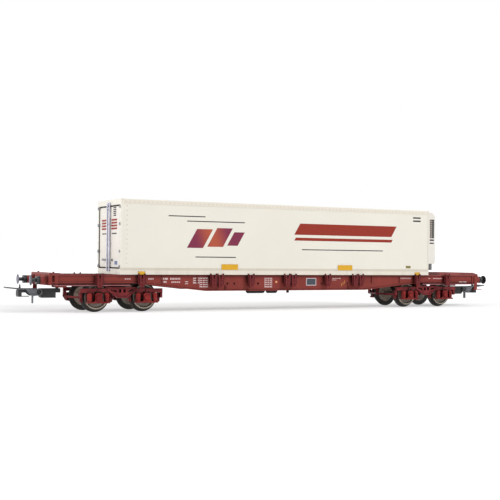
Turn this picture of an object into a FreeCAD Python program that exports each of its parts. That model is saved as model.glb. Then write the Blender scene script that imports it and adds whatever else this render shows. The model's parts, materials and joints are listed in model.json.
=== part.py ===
import FreeCAD, Part
import os
import re
import Sketcher

# HO scale (1:87) container flatcar on two swivelling bogies, carrying a lift-off refrigerated swap body.
# Millimetres. X runs along the wagon, Y across it, Z up. The origin is on the floor, midway between
# the bogie pivots. The container's doors face -X and its refrigeration unit faces +X.

doc = FreeCAD.newDocument("container_flatcar")
sheet = doc.addObject("Spreadsheet::Sheet", "Dimensions")

# alias, size in mm (or degrees), what it is
DIMENSIONS = (
    # overall
    ("bogie_spacing", 155.0, "from bogie pivot to bogie pivot"),
    ("end_overhang", 30.7, "from the bogie pivot to the headstock's face"),
    ("box_length", 156.4, "container, without its refrigeration unit"),
    ("box_shift", -1.05, "middle of the container from mid-wagon"),
    ("box_breadth", 28.7, "container"),
    ("box_height", 30.8, "container"),
    ("sill_top", 15.3, "deck height above the floor"),
    ("fit_gap", 0.05, "running and seating clearance"),
    # side sills
    ("sill_inset", 0.85, "side sill behind the container's side"),
    ("sill_depth", 3.45, "side sill over the bogies"),
    ("belly_depth", 6.85, "side sill at mid-length"),
    ("belly_reach", 40.8, "half length of the level underside"),
    ("belly_end_gap", 4.5, "from the end of the sloping underside to the pivot"),
    ("flange_width", 1.3, "side sill flanges, across the wagon"),
    ("flange_thickness", 0.4, "side sill flanges"),
    ("web_recess", 0.35, "side sill web behind the flange edges"),
    ("web_thickness", 0.5, "side sill web"),
    ("subsill_drop", 1.1, "lower rail's underside below the side sill"),
    ("subsill_lead", 3.1, "lower rail's inner end, inwards from the pivot"),
    ("subsill_recess", 0.45, "lower rail behind the side sill's face"),
    ("subsill_width", 0.65, "lower rail flange"),
    ("subsill_web", 0.4, "lower rail web"),
    ("hole_radius", 0.45, "round holes in the side sill web"),
    ("hole_drop", 3.75, "those holes below the deck"),
    ("post_length", 1.5, "end post of the side sill, along the wagon"),
    ("post_slot", 1.05, "slot between the end post and the headstock"),
    ("rib_thickness", 0.35, "upright stiffeners between the flanges"),
    # under-structure
    ("beam_width", 1.6, "cross member flange"),
    ("beam_web", 0.5, "cross member web"),
    ("beam_depth", 2.9, "cross members"),
    ("beam_set", 0.3, "cross members below the deck"),
    ("bolster_width", 5.0, "body bolster, along the wagon"),
    ("bolster_rise", 1.4, "how much higher its ends are"),
    ("plate_lift", 3.85, "bogie's centre plate above the axles"),
    ("plate_radius", 3.0, "round plate that rests on the bogie"),
    ("pivot_radius", 1.5, "bogie pivot pin"),
    ("pivot_length", 2.0, "bogie pivot pin below the bolster"),
    ("channel_pitch", 5.8, "between the two centre sills"),
    ("channel_width", 1.3, "each centre sill"),
    ("channel_foot", 11.5, "underside of the centre sills"),
    ("headstock_thickness", 1.05, "end beam, along the wagon"),
    ("headstock_depth", 4.3, "end beam"),
    ("headstock_corner", 0.8, "bevel of its lower corners"),
    ("deck_gap", 0.95, "raised end deck from the refrigeration unit"),
    ("deck_rise", 1.3, "raised end deck above the sills"),
    ("deck_slope", 1.4, "its sloping inner edge"),
    ("deck_nose", 3.2, "its sloping outer edge"),
    ("deck_sheet", 0.45, "its thickness"),
    ("lip_reach", 8.6, "low deck lip at the door end"),
    ("lip_rise", 0.7, "its height"),
    ("tab_rise", 1.1, "small tabs on that lip"),
    # container brackets on the side sills
    ("bracket_stand", 0.95, "bracket's back plate off the sill"),
    ("bracket_back", 0.4, "its back plate"),
    ("bracket_front", 0.35, "its front plate"),
    ("bracket_width", 3.2, "its back plate"),
    ("bracket_face", 2.2, "its front plate"),
    ("bracket_rise", 0.55, "its horns above the deck"),
    ("bracket_horn", 0.5, "width of each horn"),
    ("bracket_notch", 1.9, "depth of its notch below the deck"),
    ("bracket_drop", 5.2, "its lower end below the deck"),
    ("pin_radius", 0.42, "container locating pin"),
    ("pin_length", 0.9, "container locating pin above the deck"),
    # buffers and steps
    ("buffer_pitch", 20.1, "between the two buffers of one end"),
    ("buffer_drop", 2.3, "buffer centre below the deck"),
    ("buffer_length", 6.7, "from the headstock to the face"),
    ("sleeve_length", 3.5, "buffer sleeve moulded on the headstock"),
    ("sleeve_radius", 1.6, "buffer sleeve"),
    ("collar_length", 0.9, "buffer collar in front of the sleeve"),
    ("plunger_radius", 0.75, "buffer plunger"),
    ("head_radius", 2.05, "buffer head"),
    ("head_thickness", 0.35, "buffer head"),
    ("step_foot", 8.2, "underside of the corner step"),
    # brake pipe and reservoirs
    ("pipe_radius", 0.3, "brake pipe under the cross members"),
    ("pipe_offset", 7.2, "brake pipe from the centre line"),
    ("pipe_reach", 54.0, "half length of the brake pipe"),
    ("tank_radius", 1.5, "brake reservoirs"),
    ("tank_drop", 3.5, "reservoir centres below the cross members"),
    # wheelsets
    ("axle_spacing", 20.7, "in one bogie"),
    ("back_to_back", 14.4, "between the wheels' inner faces"),
    ("wheel_width", 2.8, "wheel tread with flange"),
    ("tread_radius", 5.25, "wheel at the tread"),
    ("flange_depth", 0.9, "wheel flange beyond the tread"),
    ("rim_depth", 0.75, "rim inside the tread"),
    ("hub_radius", 1.75, "wheel hub"),
    ("axle_radius", 1.0, "axle between and in the wheels"),
    ("journal_radius", 0.5, "axle end in its bearing"),
    # bogies
    ("side_gap", 0.9, "between a wheel and the bogie side frame"),
    ("side_thickness", 1.1, "bogie side frame"),
    ("side_overhang", 2.05, "bogie side frame beyond the wheel tread"),
    ("chord_lift", 1.85, "underside of the side frame above the axles"),
    ("chord_depth", 1.65, "side frame above the axles"),
    ("truss_rise", 0.5, "middle of the side frame above its ends"),
    ("truss_drop", 0.35, "lowest point of the side frame below the axles"),
    ("truss_reach", 6.7, "half length of the deep middle part"),
    ("rim_width", 0.45, "raised rim round the middle part"),
    ("rim_rise", 0.25, "how far that rim stands out"),
    ("slot_width", 1.0, "upright slots in the side frame"),
    ("slot_pitch", 1.9, "between those slots"),
    ("transom_width", 6.0, "middle of the bogie cross beam, along the wagon"),
    ("wheel_clearance", 1.2, "bogie cross beam before the wheel flanges"),
    ("transom_lift", 1.45, "underside of the bogie cross beam above the axles"),
    ("guide_width", 0.4, "horn guides beside the axleboxes"),
    ("box_width", 3.0, "axlebox"),
    ("box_depth", 2.6, "axlebox, across the wagon"),
    ("box_drop", 2.4, "underside of the axlebox below the axle"),
    ("wing_reach", 4.8, "axlebox wings under the springs"),
    ("wing_thickness", 0.6, "axlebox wings"),
    ("pot_pitch", 7.2, "between the two spring pots of an axlebox"),
    ("pot_radius", 1.1, "spring pot"),
    ("shoe_gap", 0.3, "brake shoe off the tread"),
    ("shoe_thickness", 1.1, "brake shoe"),
    ("shoe_width", 1.7, "brake shoe, across the wagon"),
    ("hanger_width", 0.6, "brake hanger below the side frame"),
    ("yoke_reach", 20.4, "point of the outer brake beam from the pivot"),
    # couplers
    ("swing_setback", 7.0, "coupler swing pivot behind the headstock's face"),
    ("swing_radius", 0.65, "coupler swing pin"),
    ("tail_length", 1.0, "coupler shank behind its swing pivot"),
    ("shank_width", 3.2, "coupler shank"),
    ("shank_foot", 5.7, "underside of the coupler shank"),
    ("shank_top", 9.5, "top of the coupler shank"),
    ("loop_lead", 1.0, "coupler loop pivot in front of the headstock's face"),
    ("loop_height", 8.05, "coupler loop pivot"),
    ("loop_pin_radius", 0.75, "coupler loop pivot pin"),
    ("loop_eye_radius", 1.45, "eye of the loop's side plate"),
    ("loop_cheek", 0.35, "loop side plate thickness"),
    ("loop_width", 5.0, "over the loop's side plates"),
    ("loop_tip_reach", 13.0, "front of the loop from its pivot"),
    ("loop_wire", 0.28, "radius of the loop's wire"),
    ("trip_foot", 3.5, "lower end of the trip strip"),
    ("hook_reach", 8.2, "front of the coupler plate from the loop pivot"),
    ("hook_tip_height", 11.2, "tip of the hook"),
    ("mount_thickness", 1.65, "plate that carries the coupler"),
    # container
    ("wall_thickness", 0.95, "insulated walls and roof"),
    ("floor_thickness", 1.8, "container floor"),
    ("rail_proud", 0.12, "top and bottom rails proud of the panels"),
    ("bottom_rail", 2.7, "bottom side rail"),
    ("top_rail", 1.9, "top side rail"),
    ("post_width", 1.2, "rear corner posts"),
    ("header_height", 2.3, "rear frame above the doors"),
    ("threshold_height", 2.3, "rear frame below the doors"),
    ("door_inset", 0.35, "doors behind the rear frame"),
    ("door_gap", 0.15, "around each door"),
    ("lock_bar_radius", 0.34, "door lock bar"),
    ("lock_bar_offset", 1.35, "lock bar from the centre line"),
    ("rear_setback", 9.15, "corner castings from the container's rear"),
    ("front_setback", 7.05, "corner castings from the container's front wall"),
    ("casting_length", 3.2, "corner casting"),
    ("casting_height", 1.35, "corner casting"),
    ("corner_bevel", 0.45, "front corners of the container"),
    ("unit_depth", 5.45, "refrigeration unit, out from the wall"),
    ("unit_inner_depth", 3.7, "its lower part, out from the wall"),
    ("unit_width", 23.4, "refrigeration unit"),
    ("unit_foot", 2.4, "its lower part above the container's underside"),
    ("unit_step", 3.05, "its upper part above the lower part's foot"),
    ("unit_top_gap", 0.65, "refrigeration unit below the container's top"),
    ("louvre_height", 0.5, "air slots in the refrigeration unit"),
    ("louvre_width", 1.0, "air slots in the refrigeration unit"),
)

# places that several pieces share
SILL_SIDE = "(box_breadth / 2 - sill_inset)"
SILL_FOOT = "(sill_top - sill_depth)"
HEAD_FACE = "(bogie_spacing / 2 + end_overhang)"
SILL_END = f"({HEAD_FACE} - headstock_thickness)"
BELLY_END = "(bogie_spacing / 2 - belly_end_gap)"
BEAM_TOP = "(sill_top - beam_set)"
BEAM_FOOT = "(sill_top - beam_set - beam_depth)"
AXLE_HEIGHT = "(tread_radius + flange_depth)"
PLATE_HEIGHT = f"({AXLE_HEIGHT} + plate_lift)"
CHORD_FOOT = f"({AXLE_HEIGHT} + chord_lift)"
SIDE_INNER = "(back_to_back / 2 + wheel_width + side_gap)"
AXLE_TIP = f"({SIDE_INNER} + 1.8)"
BOX_FOOT = f"({AXLE_HEIGHT} - box_drop)"
SWING_REACH = f"({HEAD_FACE} - swing_setback)"
LOOP_REACH = f"({HEAD_FACE} + loop_lead)"
# where the coupler's head meets its shank
SHANK_FACE = f"({LOOP_REACH} - loop_pin_radius - 0.1)"
# the container's underside, its top, its outer side and its end walls
BASE = "(sill_top + fit_gap)"
ROOF = "(sill_top + fit_gap + box_height)"
SIDE = "(box_breadth / 2)"
REAR = "(box_shift - box_length / 2)"
FRONT = "(box_shift + box_length / 2)"
# locating pins and corner castings: both places along the wagon, and the place across it
PIN_PLACES = (f"({REAR} + rear_setback)", f"({FRONT} - front_setback)")
PIN_ACROSS = f"({SILL_SIDE} - 0.53)"
CASTING_BACK = f"({PIN_ACROSS} - pin_radius - 0.2)"

# side brackets: place along the wagon, plates side by side; two stand at the corner castings
BRACKETS = (
    ("-(bogie_spacing / 2 + 10.6)", 1),
    (PIN_PLACES[0], 1),
    ("-36.0", 2),
    ("-19.6", 1),
    ("0.0", 2),
    ("19.6", 1),
    ("36.0", 2),
    (PIN_PLACES[1], 1),
    ("bogie_spacing / 2 + 10.6", 1),
)
# cross members: place along the wagon
CROSS_MEMBERS = (-52.6, -36.0, -19.6, 0.0, 19.6, 36.0, 52.6)
# round holes in the side sill webs: place along the wagon
WEB_HOLES = (-30.4, -27.1, -15.5, 17.3, 31.0)
# upright stiffeners on the side sills: place along the wagon
SILL_RIBS = (-60.5, -44.6, 44.6, 60.5)
ENDS = (("front", 0), ("rear", 180))


def fill_sheet():
    for row, (alias, size, note) in enumerate(DIMENSIONS, start=1):
        sheet.set(f"A{row}", alias)
        sheet.set(f"B{row}", str(size))
        sheet.set(f"C{row}", note)
        sheet.setAlias(f"B{row}", alias)
    doc.recompute()


def bound(text):
    """The expression that reads a size, or a sum of sizes, from the sheet."""
    return re.sub(r"\b[a-z]+(?:_[a-z]+)+\b", lambda word: "Dimensions." + word.group(0), str(text))


def size(text):
    """The number that such an expression stands for."""
    return float(sheet.evalExpression(bound(text)))


def minus(text):
    return f"-({text})"


def mirrored(half):
    """A closed outline from its right half, listed from one end of the centre line to the other."""
    return list(half) + [(minus(across), up) for across, up in reversed(half)]


def block(left, low, right, high):
    return [(left, low), (right, low), (right, high), (left, high)]


def new_body(label):
    body = doc.addObject("PartDesign::Body", label)
    body.Label = label
    return body


def new_sketch(body, role, offset):
    """A sketch on one of the body's own planes; the offset is along the plane's normal."""
    sketch = body.newObject("Sketcher::SketchObject", body.Name + "_sketch")
    plane = [item for item in body.Origin.OriginFeatures if item.Role == role][0]
    sketch.AttachmentSupport = [(plane, "")]
    sketch.MapMode = "FlatFace"
    sketch.setExpression("AttachmentOffset.Base.z", bound(offset))
    return sketch


def draw_outline(sketch, corners):
    """A closed outline of straight lines whose every corner is tied to the sheet."""
    first = sketch.GeometryCount
    count = len(corners)
    places = [FreeCAD.Vector(size(across), size(up), 0) for across, up in corners]
    lines = [Part.LineSegment(here, there) for here, there in zip(places, places[1:] + places[:1])]
    sketch.addGeometry(lines, False)
    rules = []
    for index in range(count):
        following = first + (index + 1) % count
        rules.append(Sketcher.Constraint("Coincident", first + index, 2, following, 1))
    for index, place in enumerate(places):
        rules.append(Sketcher.Constraint("DistanceX", -1, 1, first + index, 1, place.x))
        rules.append(Sketcher.Constraint("DistanceY", -1, 1, first + index, 1, place.y))
    start = sketch.ConstraintCount
    sketch.addConstraint(rules)
    for index, (across, up) in enumerate(corners):
        sketch.setExpression(f"Constraints[{start + count + 2 * index}]", bound(across))
        sketch.setExpression(f"Constraints[{start + count + 2 * index + 1}]", bound(up))


def draw_circle(sketch, across, up, radius):
    first = sketch.GeometryCount
    start = sketch.ConstraintCount
    centre = FreeCAD.Vector(size(across), size(up), 0)
    sketch.addGeometry(Part.Circle(centre, FreeCAD.Vector(0, 0, 1), size(radius)), False)
    rules = [
        Sketcher.Constraint("DistanceX", -1, 1, first, 3, centre.x),
        Sketcher.Constraint("DistanceY", -1, 1, first, 3, centre.y),
        Sketcher.Constraint("Radius", first, size(radius)),
    ]
    sketch.addConstraint(rules)
    for index, text in enumerate((across, up, radius)):
        sketch.setExpression(f"Constraints[{start + index}]", bound(text))


# the plane's role, and whether its normal runs against the row axis
ALONG = {"x": ("YZ_Plane", False), "y": ("XZ_Plane", True), "z": ("XY_Plane", False)}


def sweep_feature(kind, body, axis, low, high, shapes):
    """Pads or pockets outlines and circles between two places along one axis."""
    role, against = ALONG[axis]
    offset = minus(high) if against else low
    sketch = new_sketch(body, role, offset)
    for shape in shapes:
        if isinstance(shape, list):
            draw_outline(sketch, shape)
        else:
            draw_circle(sketch, *shape)
    feature = body.newObject("PartDesign::" + kind, body.Name + "_" + kind.lower())
    feature.Profile = sketch
    feature.setExpression("Length", bound(f"({high}) - ({low})"))
    if kind == "Pocket":
        feature.Reversed = True
    return feature


def pad(body, axis, low, high, *shapes):
    return sweep_feature("Pad", body, axis, low, high, shapes)


def pocket(body, axis, low, high, *shapes):
    return sweep_feature("Pocket", body, axis, low, high, shapes)


def revolve(body, role, corners, line, offset="0"):
    """Turns an outline about its sketch's H_Axis or V_Axis."""
    sketch = new_sketch(body, role, offset)
    draw_outline(sketch, corners)
    feature = body.newObject("PartDesign::Revolution", body.Name + "_revolution")
    feature.Profile = sketch
    feature.ReferenceAxis = (sketch, [line])
    feature.Angle = 360
    return feature


def place(item, x="0", y="0", z="0", turn=0):
    item.Placement = FreeCAD.Placement(FreeCAD.Vector(0, 0, 0), FreeCAD.Rotation(FreeCAD.Vector(0, 0, 1), turn))
    for axis, text in zip("xyz", (x, y, z)):
        item.setExpression(f"Placement.Base.{axis}", bound(text))
    return item


def mirror_across(label, source, normal=(0, 1, 0)):
    copy = doc.addObject("Part::Mirroring", label)
    copy.Source = source
    copy.Normal = normal
    copy.Label = label
    return copy


def gather(label, items):
    """Like pieces that share one node."""
    group = doc.addObject("Part::Compound", label)
    group.Links = items
    group.Label = label
    return group


def cylinder(label, radius, height, x, y, z, direction=(0, 0, 1)):
    item = doc.addObject("Part::Cylinder", label)
    item.setExpression("Radius", bound(radius))
    item.setExpression("Height", bound(height))
    item.Placement.Rotation = FreeCAD.Rotation(FreeCAD.Vector(0, 0, 1), FreeCAD.Vector(*direction))
    for axis, text in zip("xyz", (x, y, z)):
        item.setExpression(f"Placement.Base.{axis}", bound(text))
    return item


# ---------------------------------------------------------------- wagon frame


def belly(rise):
    """The underside of the side sill, raised by a given amount, from the middle to the right end."""
    return [
        ("belly_reach", f"sill_top - belly_depth + {rise}"),
        (BELLY_END, f"{SILL_FOOT} + {rise}"),
        (SILL_END, f"{SILL_FOOT} + {rise}"),
    ]


def side_sill(label):
    """Deep fish-bellied I-beam, with a lower rail set back beside each bogie."""
    body = new_body(label)
    outside = minus(SILL_SIDE)
    web_face = f"{outside} + web_recess"
    web_back = f"{web_face} + web_thickness"
    flange_back = f"{outside} + flange_width"
    top = mirrored([(SILL_END, "sill_top - flange_thickness"), (SILL_END, "sill_top")])
    foot = mirrored(belly("0") + list(reversed(belly("flange_thickness"))))
    pad(body, "y", web_face, web_back, mirrored(belly("0") + [(SILL_END, "sill_top")]))
    pad(body, "y", outside, flange_back, top)
    pad(body, "y", outside, flange_back, foot)
    for along in SILL_RIBS:
        low = f"{along} - rib_thickness / 2"
        high = f"{along} + rib_thickness / 2"
        pad(body, "y", outside, f"{web_face} + web_thickness / 2", block(low, f"{SILL_FOOT} - 0.2", high, "sill_top"))
    for sign in ("", "-"):
        lower_rail(body, sign)
        end_post(body, sign)
    holes = [(along, "sill_top - hole_drop", "hole_radius") for along in WEB_HOLES]
    pocket(body, "y", outside, flange_back, *holes)
    return body


def span(sign, near, far, low, high):
    """A block between two distances from the middle, on either side of it."""
    left, right = (near, far) if sign == "" else (minus(far), minus(near))
    return block(left, low, right, high)


def lower_rail(body, sign):
    rail_face = f"-{SILL_SIDE} + subsill_recess"
    rail_back = f"{rail_face} + subsill_width"
    start = "bogie_spacing / 2 - subsill_lead"
    stop = f"{SILL_END} - post_slot"
    foot = f"{SILL_FOOT} - subsill_drop"
    pad(body, "y", rail_face, rail_back, span(sign, start, stop, foot, f"{foot} + flange_thickness"))
    pad(body, "y", f"{rail_back} - subsill_web", rail_back,
        span(sign, start, stop, foot, f"{SILL_FOOT} + flange_thickness"))


def end_post(body, sign):
    """Broad upright near the headstock, with an open slot beyond it."""
    outside = minus(SILL_SIDE)
    start = f"{SILL_END} - post_slot - post_length"
    stop = f"{SILL_END} - post_slot"
    foot = f"{SILL_FOOT} - subsill_drop"
    pad(body, "y", outside, f"{outside} + subsill_recess + subsill_width", span(sign, start, stop, foot, "sill_top"))
    slot = span(sign, stop, SILL_END, f"{SILL_FOOT} + flange_thickness", "sill_top - flange_thickness")
    pocket(body, "y", outside, f"{outside} + flange_width", slot)


def side_sills():
    right = side_sill("side_sill_right")
    return [right, mirror_across("side_sill_left", right)]


def cross_members():
    """I-beams between the side sills, in the bay between the bogies."""
    inside = f"{SILL_SIDE} - flange_width"
    half = [
        ("beam_width / 2", BEAM_FOOT),
        ("beam_width / 2", f"{BEAM_FOOT} + flange_thickness"),
        ("beam_web / 2", f"{BEAM_FOOT} + flange_thickness"),
        ("beam_web / 2", f"{BEAM_TOP} - flange_thickness"),
        ("beam_width / 2", f"{BEAM_TOP} - flange_thickness"),
        ("beam_width / 2", BEAM_TOP),
    ]
    beams = []
    for along in CROSS_MEMBERS:
        beam = new_body("cross_member")
        pad(beam, "y", minus(inside), inside, mirrored(half))
        beams.append(place(beam, x=along))
    return [gather("cross_members", beams)]


def at_pivot(piece, turn):
    return place(piece, x=f"{'-' if turn else ''}bogie_spacing / 2", turn=turn)


def bolster(end, turn):
    """Box beam over the bogie, deepest at its pivot pin."""
    body = new_body("bolster_" + end)
    inside = f"{SILL_SIDE} - flange_width"
    half = [
        ("plate_radius + 0.6", f"{PLATE_HEIGHT} + 0.4"),
        (inside, f"{PLATE_HEIGHT} + bolster_rise"),
        (inside, BEAM_TOP),
    ]
    pad(body, "x", minus("bolster_width / 2"), "bolster_width / 2", mirrored(half))
    pad(body, "z", PLATE_HEIGHT, f"{PLATE_HEIGHT} + 0.8", ("0", "0", "plate_radius"))
    pad(body, "z", f"{PLATE_HEIGHT} - pivot_length", f"{PLATE_HEIGHT} + 0.4", ("0", "0", "pivot_radius"))
    return at_pivot(body, turn)


def centre_sills(end, turn):
    """Two short channels from the bolster to the headstock."""
    body = new_body("centre_sills_" + end)
    start = "bogie_spacing / 2 + bolster_width / 2"
    for sign in ("-", ""):
        middle = f"{sign}channel_pitch / 2"
        channel = block(f"{middle} - channel_width / 2", "channel_foot", f"{middle} + channel_width / 2", BEAM_TOP)
        pad(body, "x", start, SILL_END, channel)
    return place(body, turn=turn)


def headstock(end, turn):
    """End beam with the buffers' square seats and round sleeves."""
    body = new_body("headstock_" + end)
    foot = "sill_top - headstock_depth"
    half = [
        (f"{SILL_SIDE} - headstock_corner", foot),
        (SILL_SIDE, f"{foot} + headstock_corner"),
        (SILL_SIDE, "sill_top"),
    ]
    pad(body, "x", SILL_END, HEAD_FACE, mirrored(half))
    height = "sill_top - buffer_drop"
    seats = []
    sleeves = []
    for sign in ("-", ""):
        middle = f"{sign}buffer_pitch / 2"
        seats.append(block(f"{middle} - 1.8", f"{height} - 1.8", f"{middle} + 1.8", f"{height} + 1.8"))
        sleeves.append((middle, height, "sleeve_radius"))
    pad(body, "x", f"{HEAD_FACE} - 0.1", f"{HEAD_FACE} + 0.35", *seats)
    pad(body, "x", f"{HEAD_FACE} + 0.25", f"{HEAD_FACE} + sleeve_length", *sleeves)
    return place(body, turn=turn)


def buffers(end, turn):
    """Collar, plunger and thin domed head, turned as one."""
    seat = f"{HEAD_FACE} + sleeve_length"
    face = f"{HEAD_FACE} + buffer_length"
    outline = [
        (seat, "0"),
        (seat, "sleeve_radius + 0.05"),
        (f"{seat} + collar_length", "sleeve_radius + 0.05"),
        (f"{seat} + collar_length", "plunger_radius"),
        (f"{face} - head_thickness", "plunger_radius"),
        (f"{face} - head_thickness", "head_radius"),
        (f"{face} - 0.15", "head_radius"),
        (face, "head_radius / 2"),
        (face, "0"),
    ]
    pair = []
    for side in ("-", ""):
        one = new_body("buffer_" + end)
        revolve(one, "XY_Plane", outline, "H_Axis")
        pair.append(place(one, y=f"{side}buffer_pitch / 2", z="sill_top - buffer_drop", turn=turn))
    return gather("buffers_" + end, pair)


def end_decks():
    """Raised sheet deck at the refrigeration end, low lip with two tabs at the door end."""
    front = new_body("end_deck_front")
    outside = f"{SILL_SIDE} - 0.2"
    start = f"{FRONT} + unit_depth + deck_gap"
    outline = [
        (start, "sill_top"),
        (f"{start} + deck_slope", "sill_top + deck_rise"),
        (f"{HEAD_FACE} - deck_nose", "sill_top + deck_rise"),
        (HEAD_FACE, "sill_top + 0.5"),
        (HEAD_FACE, "sill_top"),
    ]
    hollow = block(f"{start} + deck_slope + deck_sheet", "sill_top",
                   f"{HEAD_FACE} - deck_nose", "sill_top + deck_rise - deck_sheet")
    pad(front, "y", minus(outside), outside, outline)
    pocket(front, "y", minus(f"{outside} - deck_sheet"), f"{outside} - deck_sheet", hollow)
    rear = new_body("end_deck_rear")
    lip = [
        (minus(HEAD_FACE), "sill_top"),
        (f"lip_reach - {HEAD_FACE}", "sill_top"),
        (f"4.0 - {HEAD_FACE}", "sill_top + lip_rise - 0.1"),
        (minus(HEAD_FACE), "sill_top + lip_rise"),
    ]
    pad(rear, "y", minus(outside), outside, lip)
    tabs = []
    for sign in ("-", ""):
        tabs.append(block(f"2.0 - {HEAD_FACE}", f"{sign}10.9 - 0.3", f"2.6 - {HEAD_FACE}", f"{sign}10.9 + 0.3"))
    pad(rear, "z", "sill_top", "sill_top + tab_rise", *tabs)
    return [front, rear]


def bracket_sheet(middle, width, low, high, horn):
    """One notched sheet of a bracket, seen from the side; its horns may stand above the deck."""
    edge = f"{width} / 2"
    half = [
        (f"{edge} - 0.3", low),
        (edge, f"{low} + 0.8"),
        (edge, high),
        (f"{edge} - bracket_horn", high),
        (f"{edge} - bracket_horn - 0.1", horn),
        ("0.4", horn),
        ("0.12", "sill_top - bracket_notch"),
    ]
    return [(f"{middle} + {x}", z) for x, z in half] + [(f"{middle} - ({x})", z) for x, z in reversed(half)]


def container_bracket(along, count):
    """A back plate with horns, a narrower front plate before it, and cheeks that join them to the sill."""
    body = new_body("bracket")
    back = f"-{SILL_SIDE} - bracket_stand"
    face = f"{back} - bracket_back"
    deck = "sill_top - 0.1"
    middles = [f"{along} + bracket_width * {index - (count - 1) / 2}" for index in range(count)]
    backs = [bracket_sheet(middle, "bracket_width", "sill_top - bracket_drop + 0.9",
                           "sill_top + bracket_rise", deck) for middle in middles]
    for sheet_outline in backs:
        pad(body, "y", face, back, sheet_outline)
    for middle in middles:
        front = bracket_sheet(middle, "bracket_face", "sill_top - bracket_drop", deck, f"{deck} - 0.05")
        cheeks = [block(f"{middle} - bracket_face / 2", "sill_top - bracket_drop + 1.7",
                        f"{middle} - bracket_face / 2 + 0.45", deck),
                  block(f"{middle} + bracket_face / 2 - 0.45", "sill_top - bracket_drop + 1.7",
                        f"{middle} + bracket_face / 2", deck)]
        pad(body, "y", f"{face} - bracket_front", f"{face} + bracket_back / 2", front)
        pad(body, "y", f"{face} + bracket_back / 2", minus(SILL_SIDE), *cheeks)
    return body


def container_brackets():
    """Notched brackets on the outside of each side sill that carry the container locks."""
    right = gather("container_brackets_right", [container_bracket(*row) for row in BRACKETS])
    return [right, mirror_across("container_brackets_left", right)]


def container_pins():
    """Locating pins on the side sills, one under each corner casting."""
    pins = []
    for x in PIN_PLACES:
        for y in (minus(PIN_ACROSS), PIN_ACROSS):
            pins.append(cylinder("container_pin", "pin_radius", "pin_length", x, y, "sill_top"))
    return [gather("container_pins", pins)]


def corner_steps():
    """One hanging step at two opposite corners; its tread reaches out past the headstock."""
    steps = []
    for turn in (0, 180):
        one = new_body("corner_step")
        outside = minus(SILL_SIDE)
        post = block(f"{HEAD_FACE} - 2.5", "step_foot", f"{HEAD_FACE} - 0.8", "sill_top - 0.5")
        tread = block(f"{HEAD_FACE} - 2.5", f"{outside} - 0.4", f"{HEAD_FACE} + 2.3", f"{outside} + 1.2")
        pad(one, "y", f"{outside} - 0.4", outside, post)
        pad(one, "z", "step_foot", "step_foot + 0.35", tread)
        steps.append(place(one, turn=turn))
    return [gather("corner_steps", steps)]


# brake reservoirs: place along the wagon, length
RESERVOIRS = (
    (-13.6, 9.2),
    (-5.4, 5.6),
)


def reservoir(along, length):
    """Dished tank with two strap legs up to the cross members' level."""
    tank = new_body("brake_tank")
    half = f"{length} / 2"
    outline = [
        (minus(half), "0"),
        (minus(f"{half} - 0.25"), "tank_radius - 0.4"),
        (minus(f"{half} - 0.7"), "tank_radius"),
        (f"{half} - 0.7", "tank_radius"),
        (f"{half} - 0.25", "tank_radius - 0.4"),
        (half, "0"),
    ]
    revolve(tank, "XY_Plane", outline, "H_Axis")
    legs = [block("-1.6", "-0.3", "-1.0", "0.3"), block("1.0", "-0.3", "1.6", "0.3")]
    pad(tank, "z", "0", "tank_drop - 2 * pipe_radius", *legs)
    return place(tank, x=along, y="-pipe_offset", z=f"{BEAM_FOOT} - tank_drop")


def brake_gear():
    """Brake pipe under the cross members, two air reservoirs strapped below it, and a lever's hanger."""
    hanger = new_body("brake_hanger")
    pad(hanger, "y", "-pipe_offset - 0.3", "0.3 - pipe_offset",
        [("2.4", f"{BEAM_FOOT} - 4.9"), ("3.4", f"{BEAM_FOOT} - 4.9"),
         ("3.6", f"{BEAM_FOOT} - 2 * pipe_radius"), ("2.2", f"{BEAM_FOOT} - 2 * pipe_radius")])
    tanks = [reservoir(*row) for row in RESERVOIRS] + [hanger]
    pipe = cylinder("brake_pipe", "pipe_radius", "2 * pipe_reach",
                    "-pipe_reach", "-pipe_offset", f"{BEAM_FOOT} - pipe_radius", (1, 0, 0))
    return [gather("brake_reservoirs", tanks), pipe]


def coupler_mount(end, turn):
    """Plate under the centre sills with the hole for the coupler's swing pin."""
    body = new_body("coupler_mount_" + end)
    pad(body, "z", "channel_foot - mount_thickness", "channel_foot",
        block(f"{SWING_REACH} - 3.0", "-3.6", f"{SWING_REACH} + 1.2", "3.6"),
        (SWING_REACH, "0", "swing_radius + fit_gap"))
    return place(body, turn=turn)


# ---------------------------------------------------------------- bogies


def side_frame():
    """Outline of the cast side frame: deep in the middle, arched over the axleboxes."""
    half = [
        ("2.0", f"{AXLE_HEIGHT} - truss_drop"),
        ("axle_spacing / 2 - 5.85", f"{AXLE_HEIGHT} + 1.4"),
        ("axle_spacing / 2 - 4.9", CHORD_FOOT),
        ("axle_spacing / 2 - 1.9", CHORD_FOOT),
        ("axle_spacing / 2 - 1.2", f"{CHORD_FOOT} + 0.45"),
        ("axle_spacing / 2 + 1.2", f"{CHORD_FOOT} + 0.45"),
        ("axle_spacing / 2 + 1.9", CHORD_FOOT),
        ("axle_spacing / 2 + tread_radius + side_overhang", CHORD_FOOT),
        ("axle_spacing / 2 + tread_radius + side_overhang", f"{CHORD_FOOT} + chord_depth"),
        ("truss_reach", f"{CHORD_FOOT} + chord_depth"),
        ("truss_reach - 1.0", f"{CHORD_FOOT} + chord_depth + truss_rise"),
    ]
    return mirrored(half)


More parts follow.
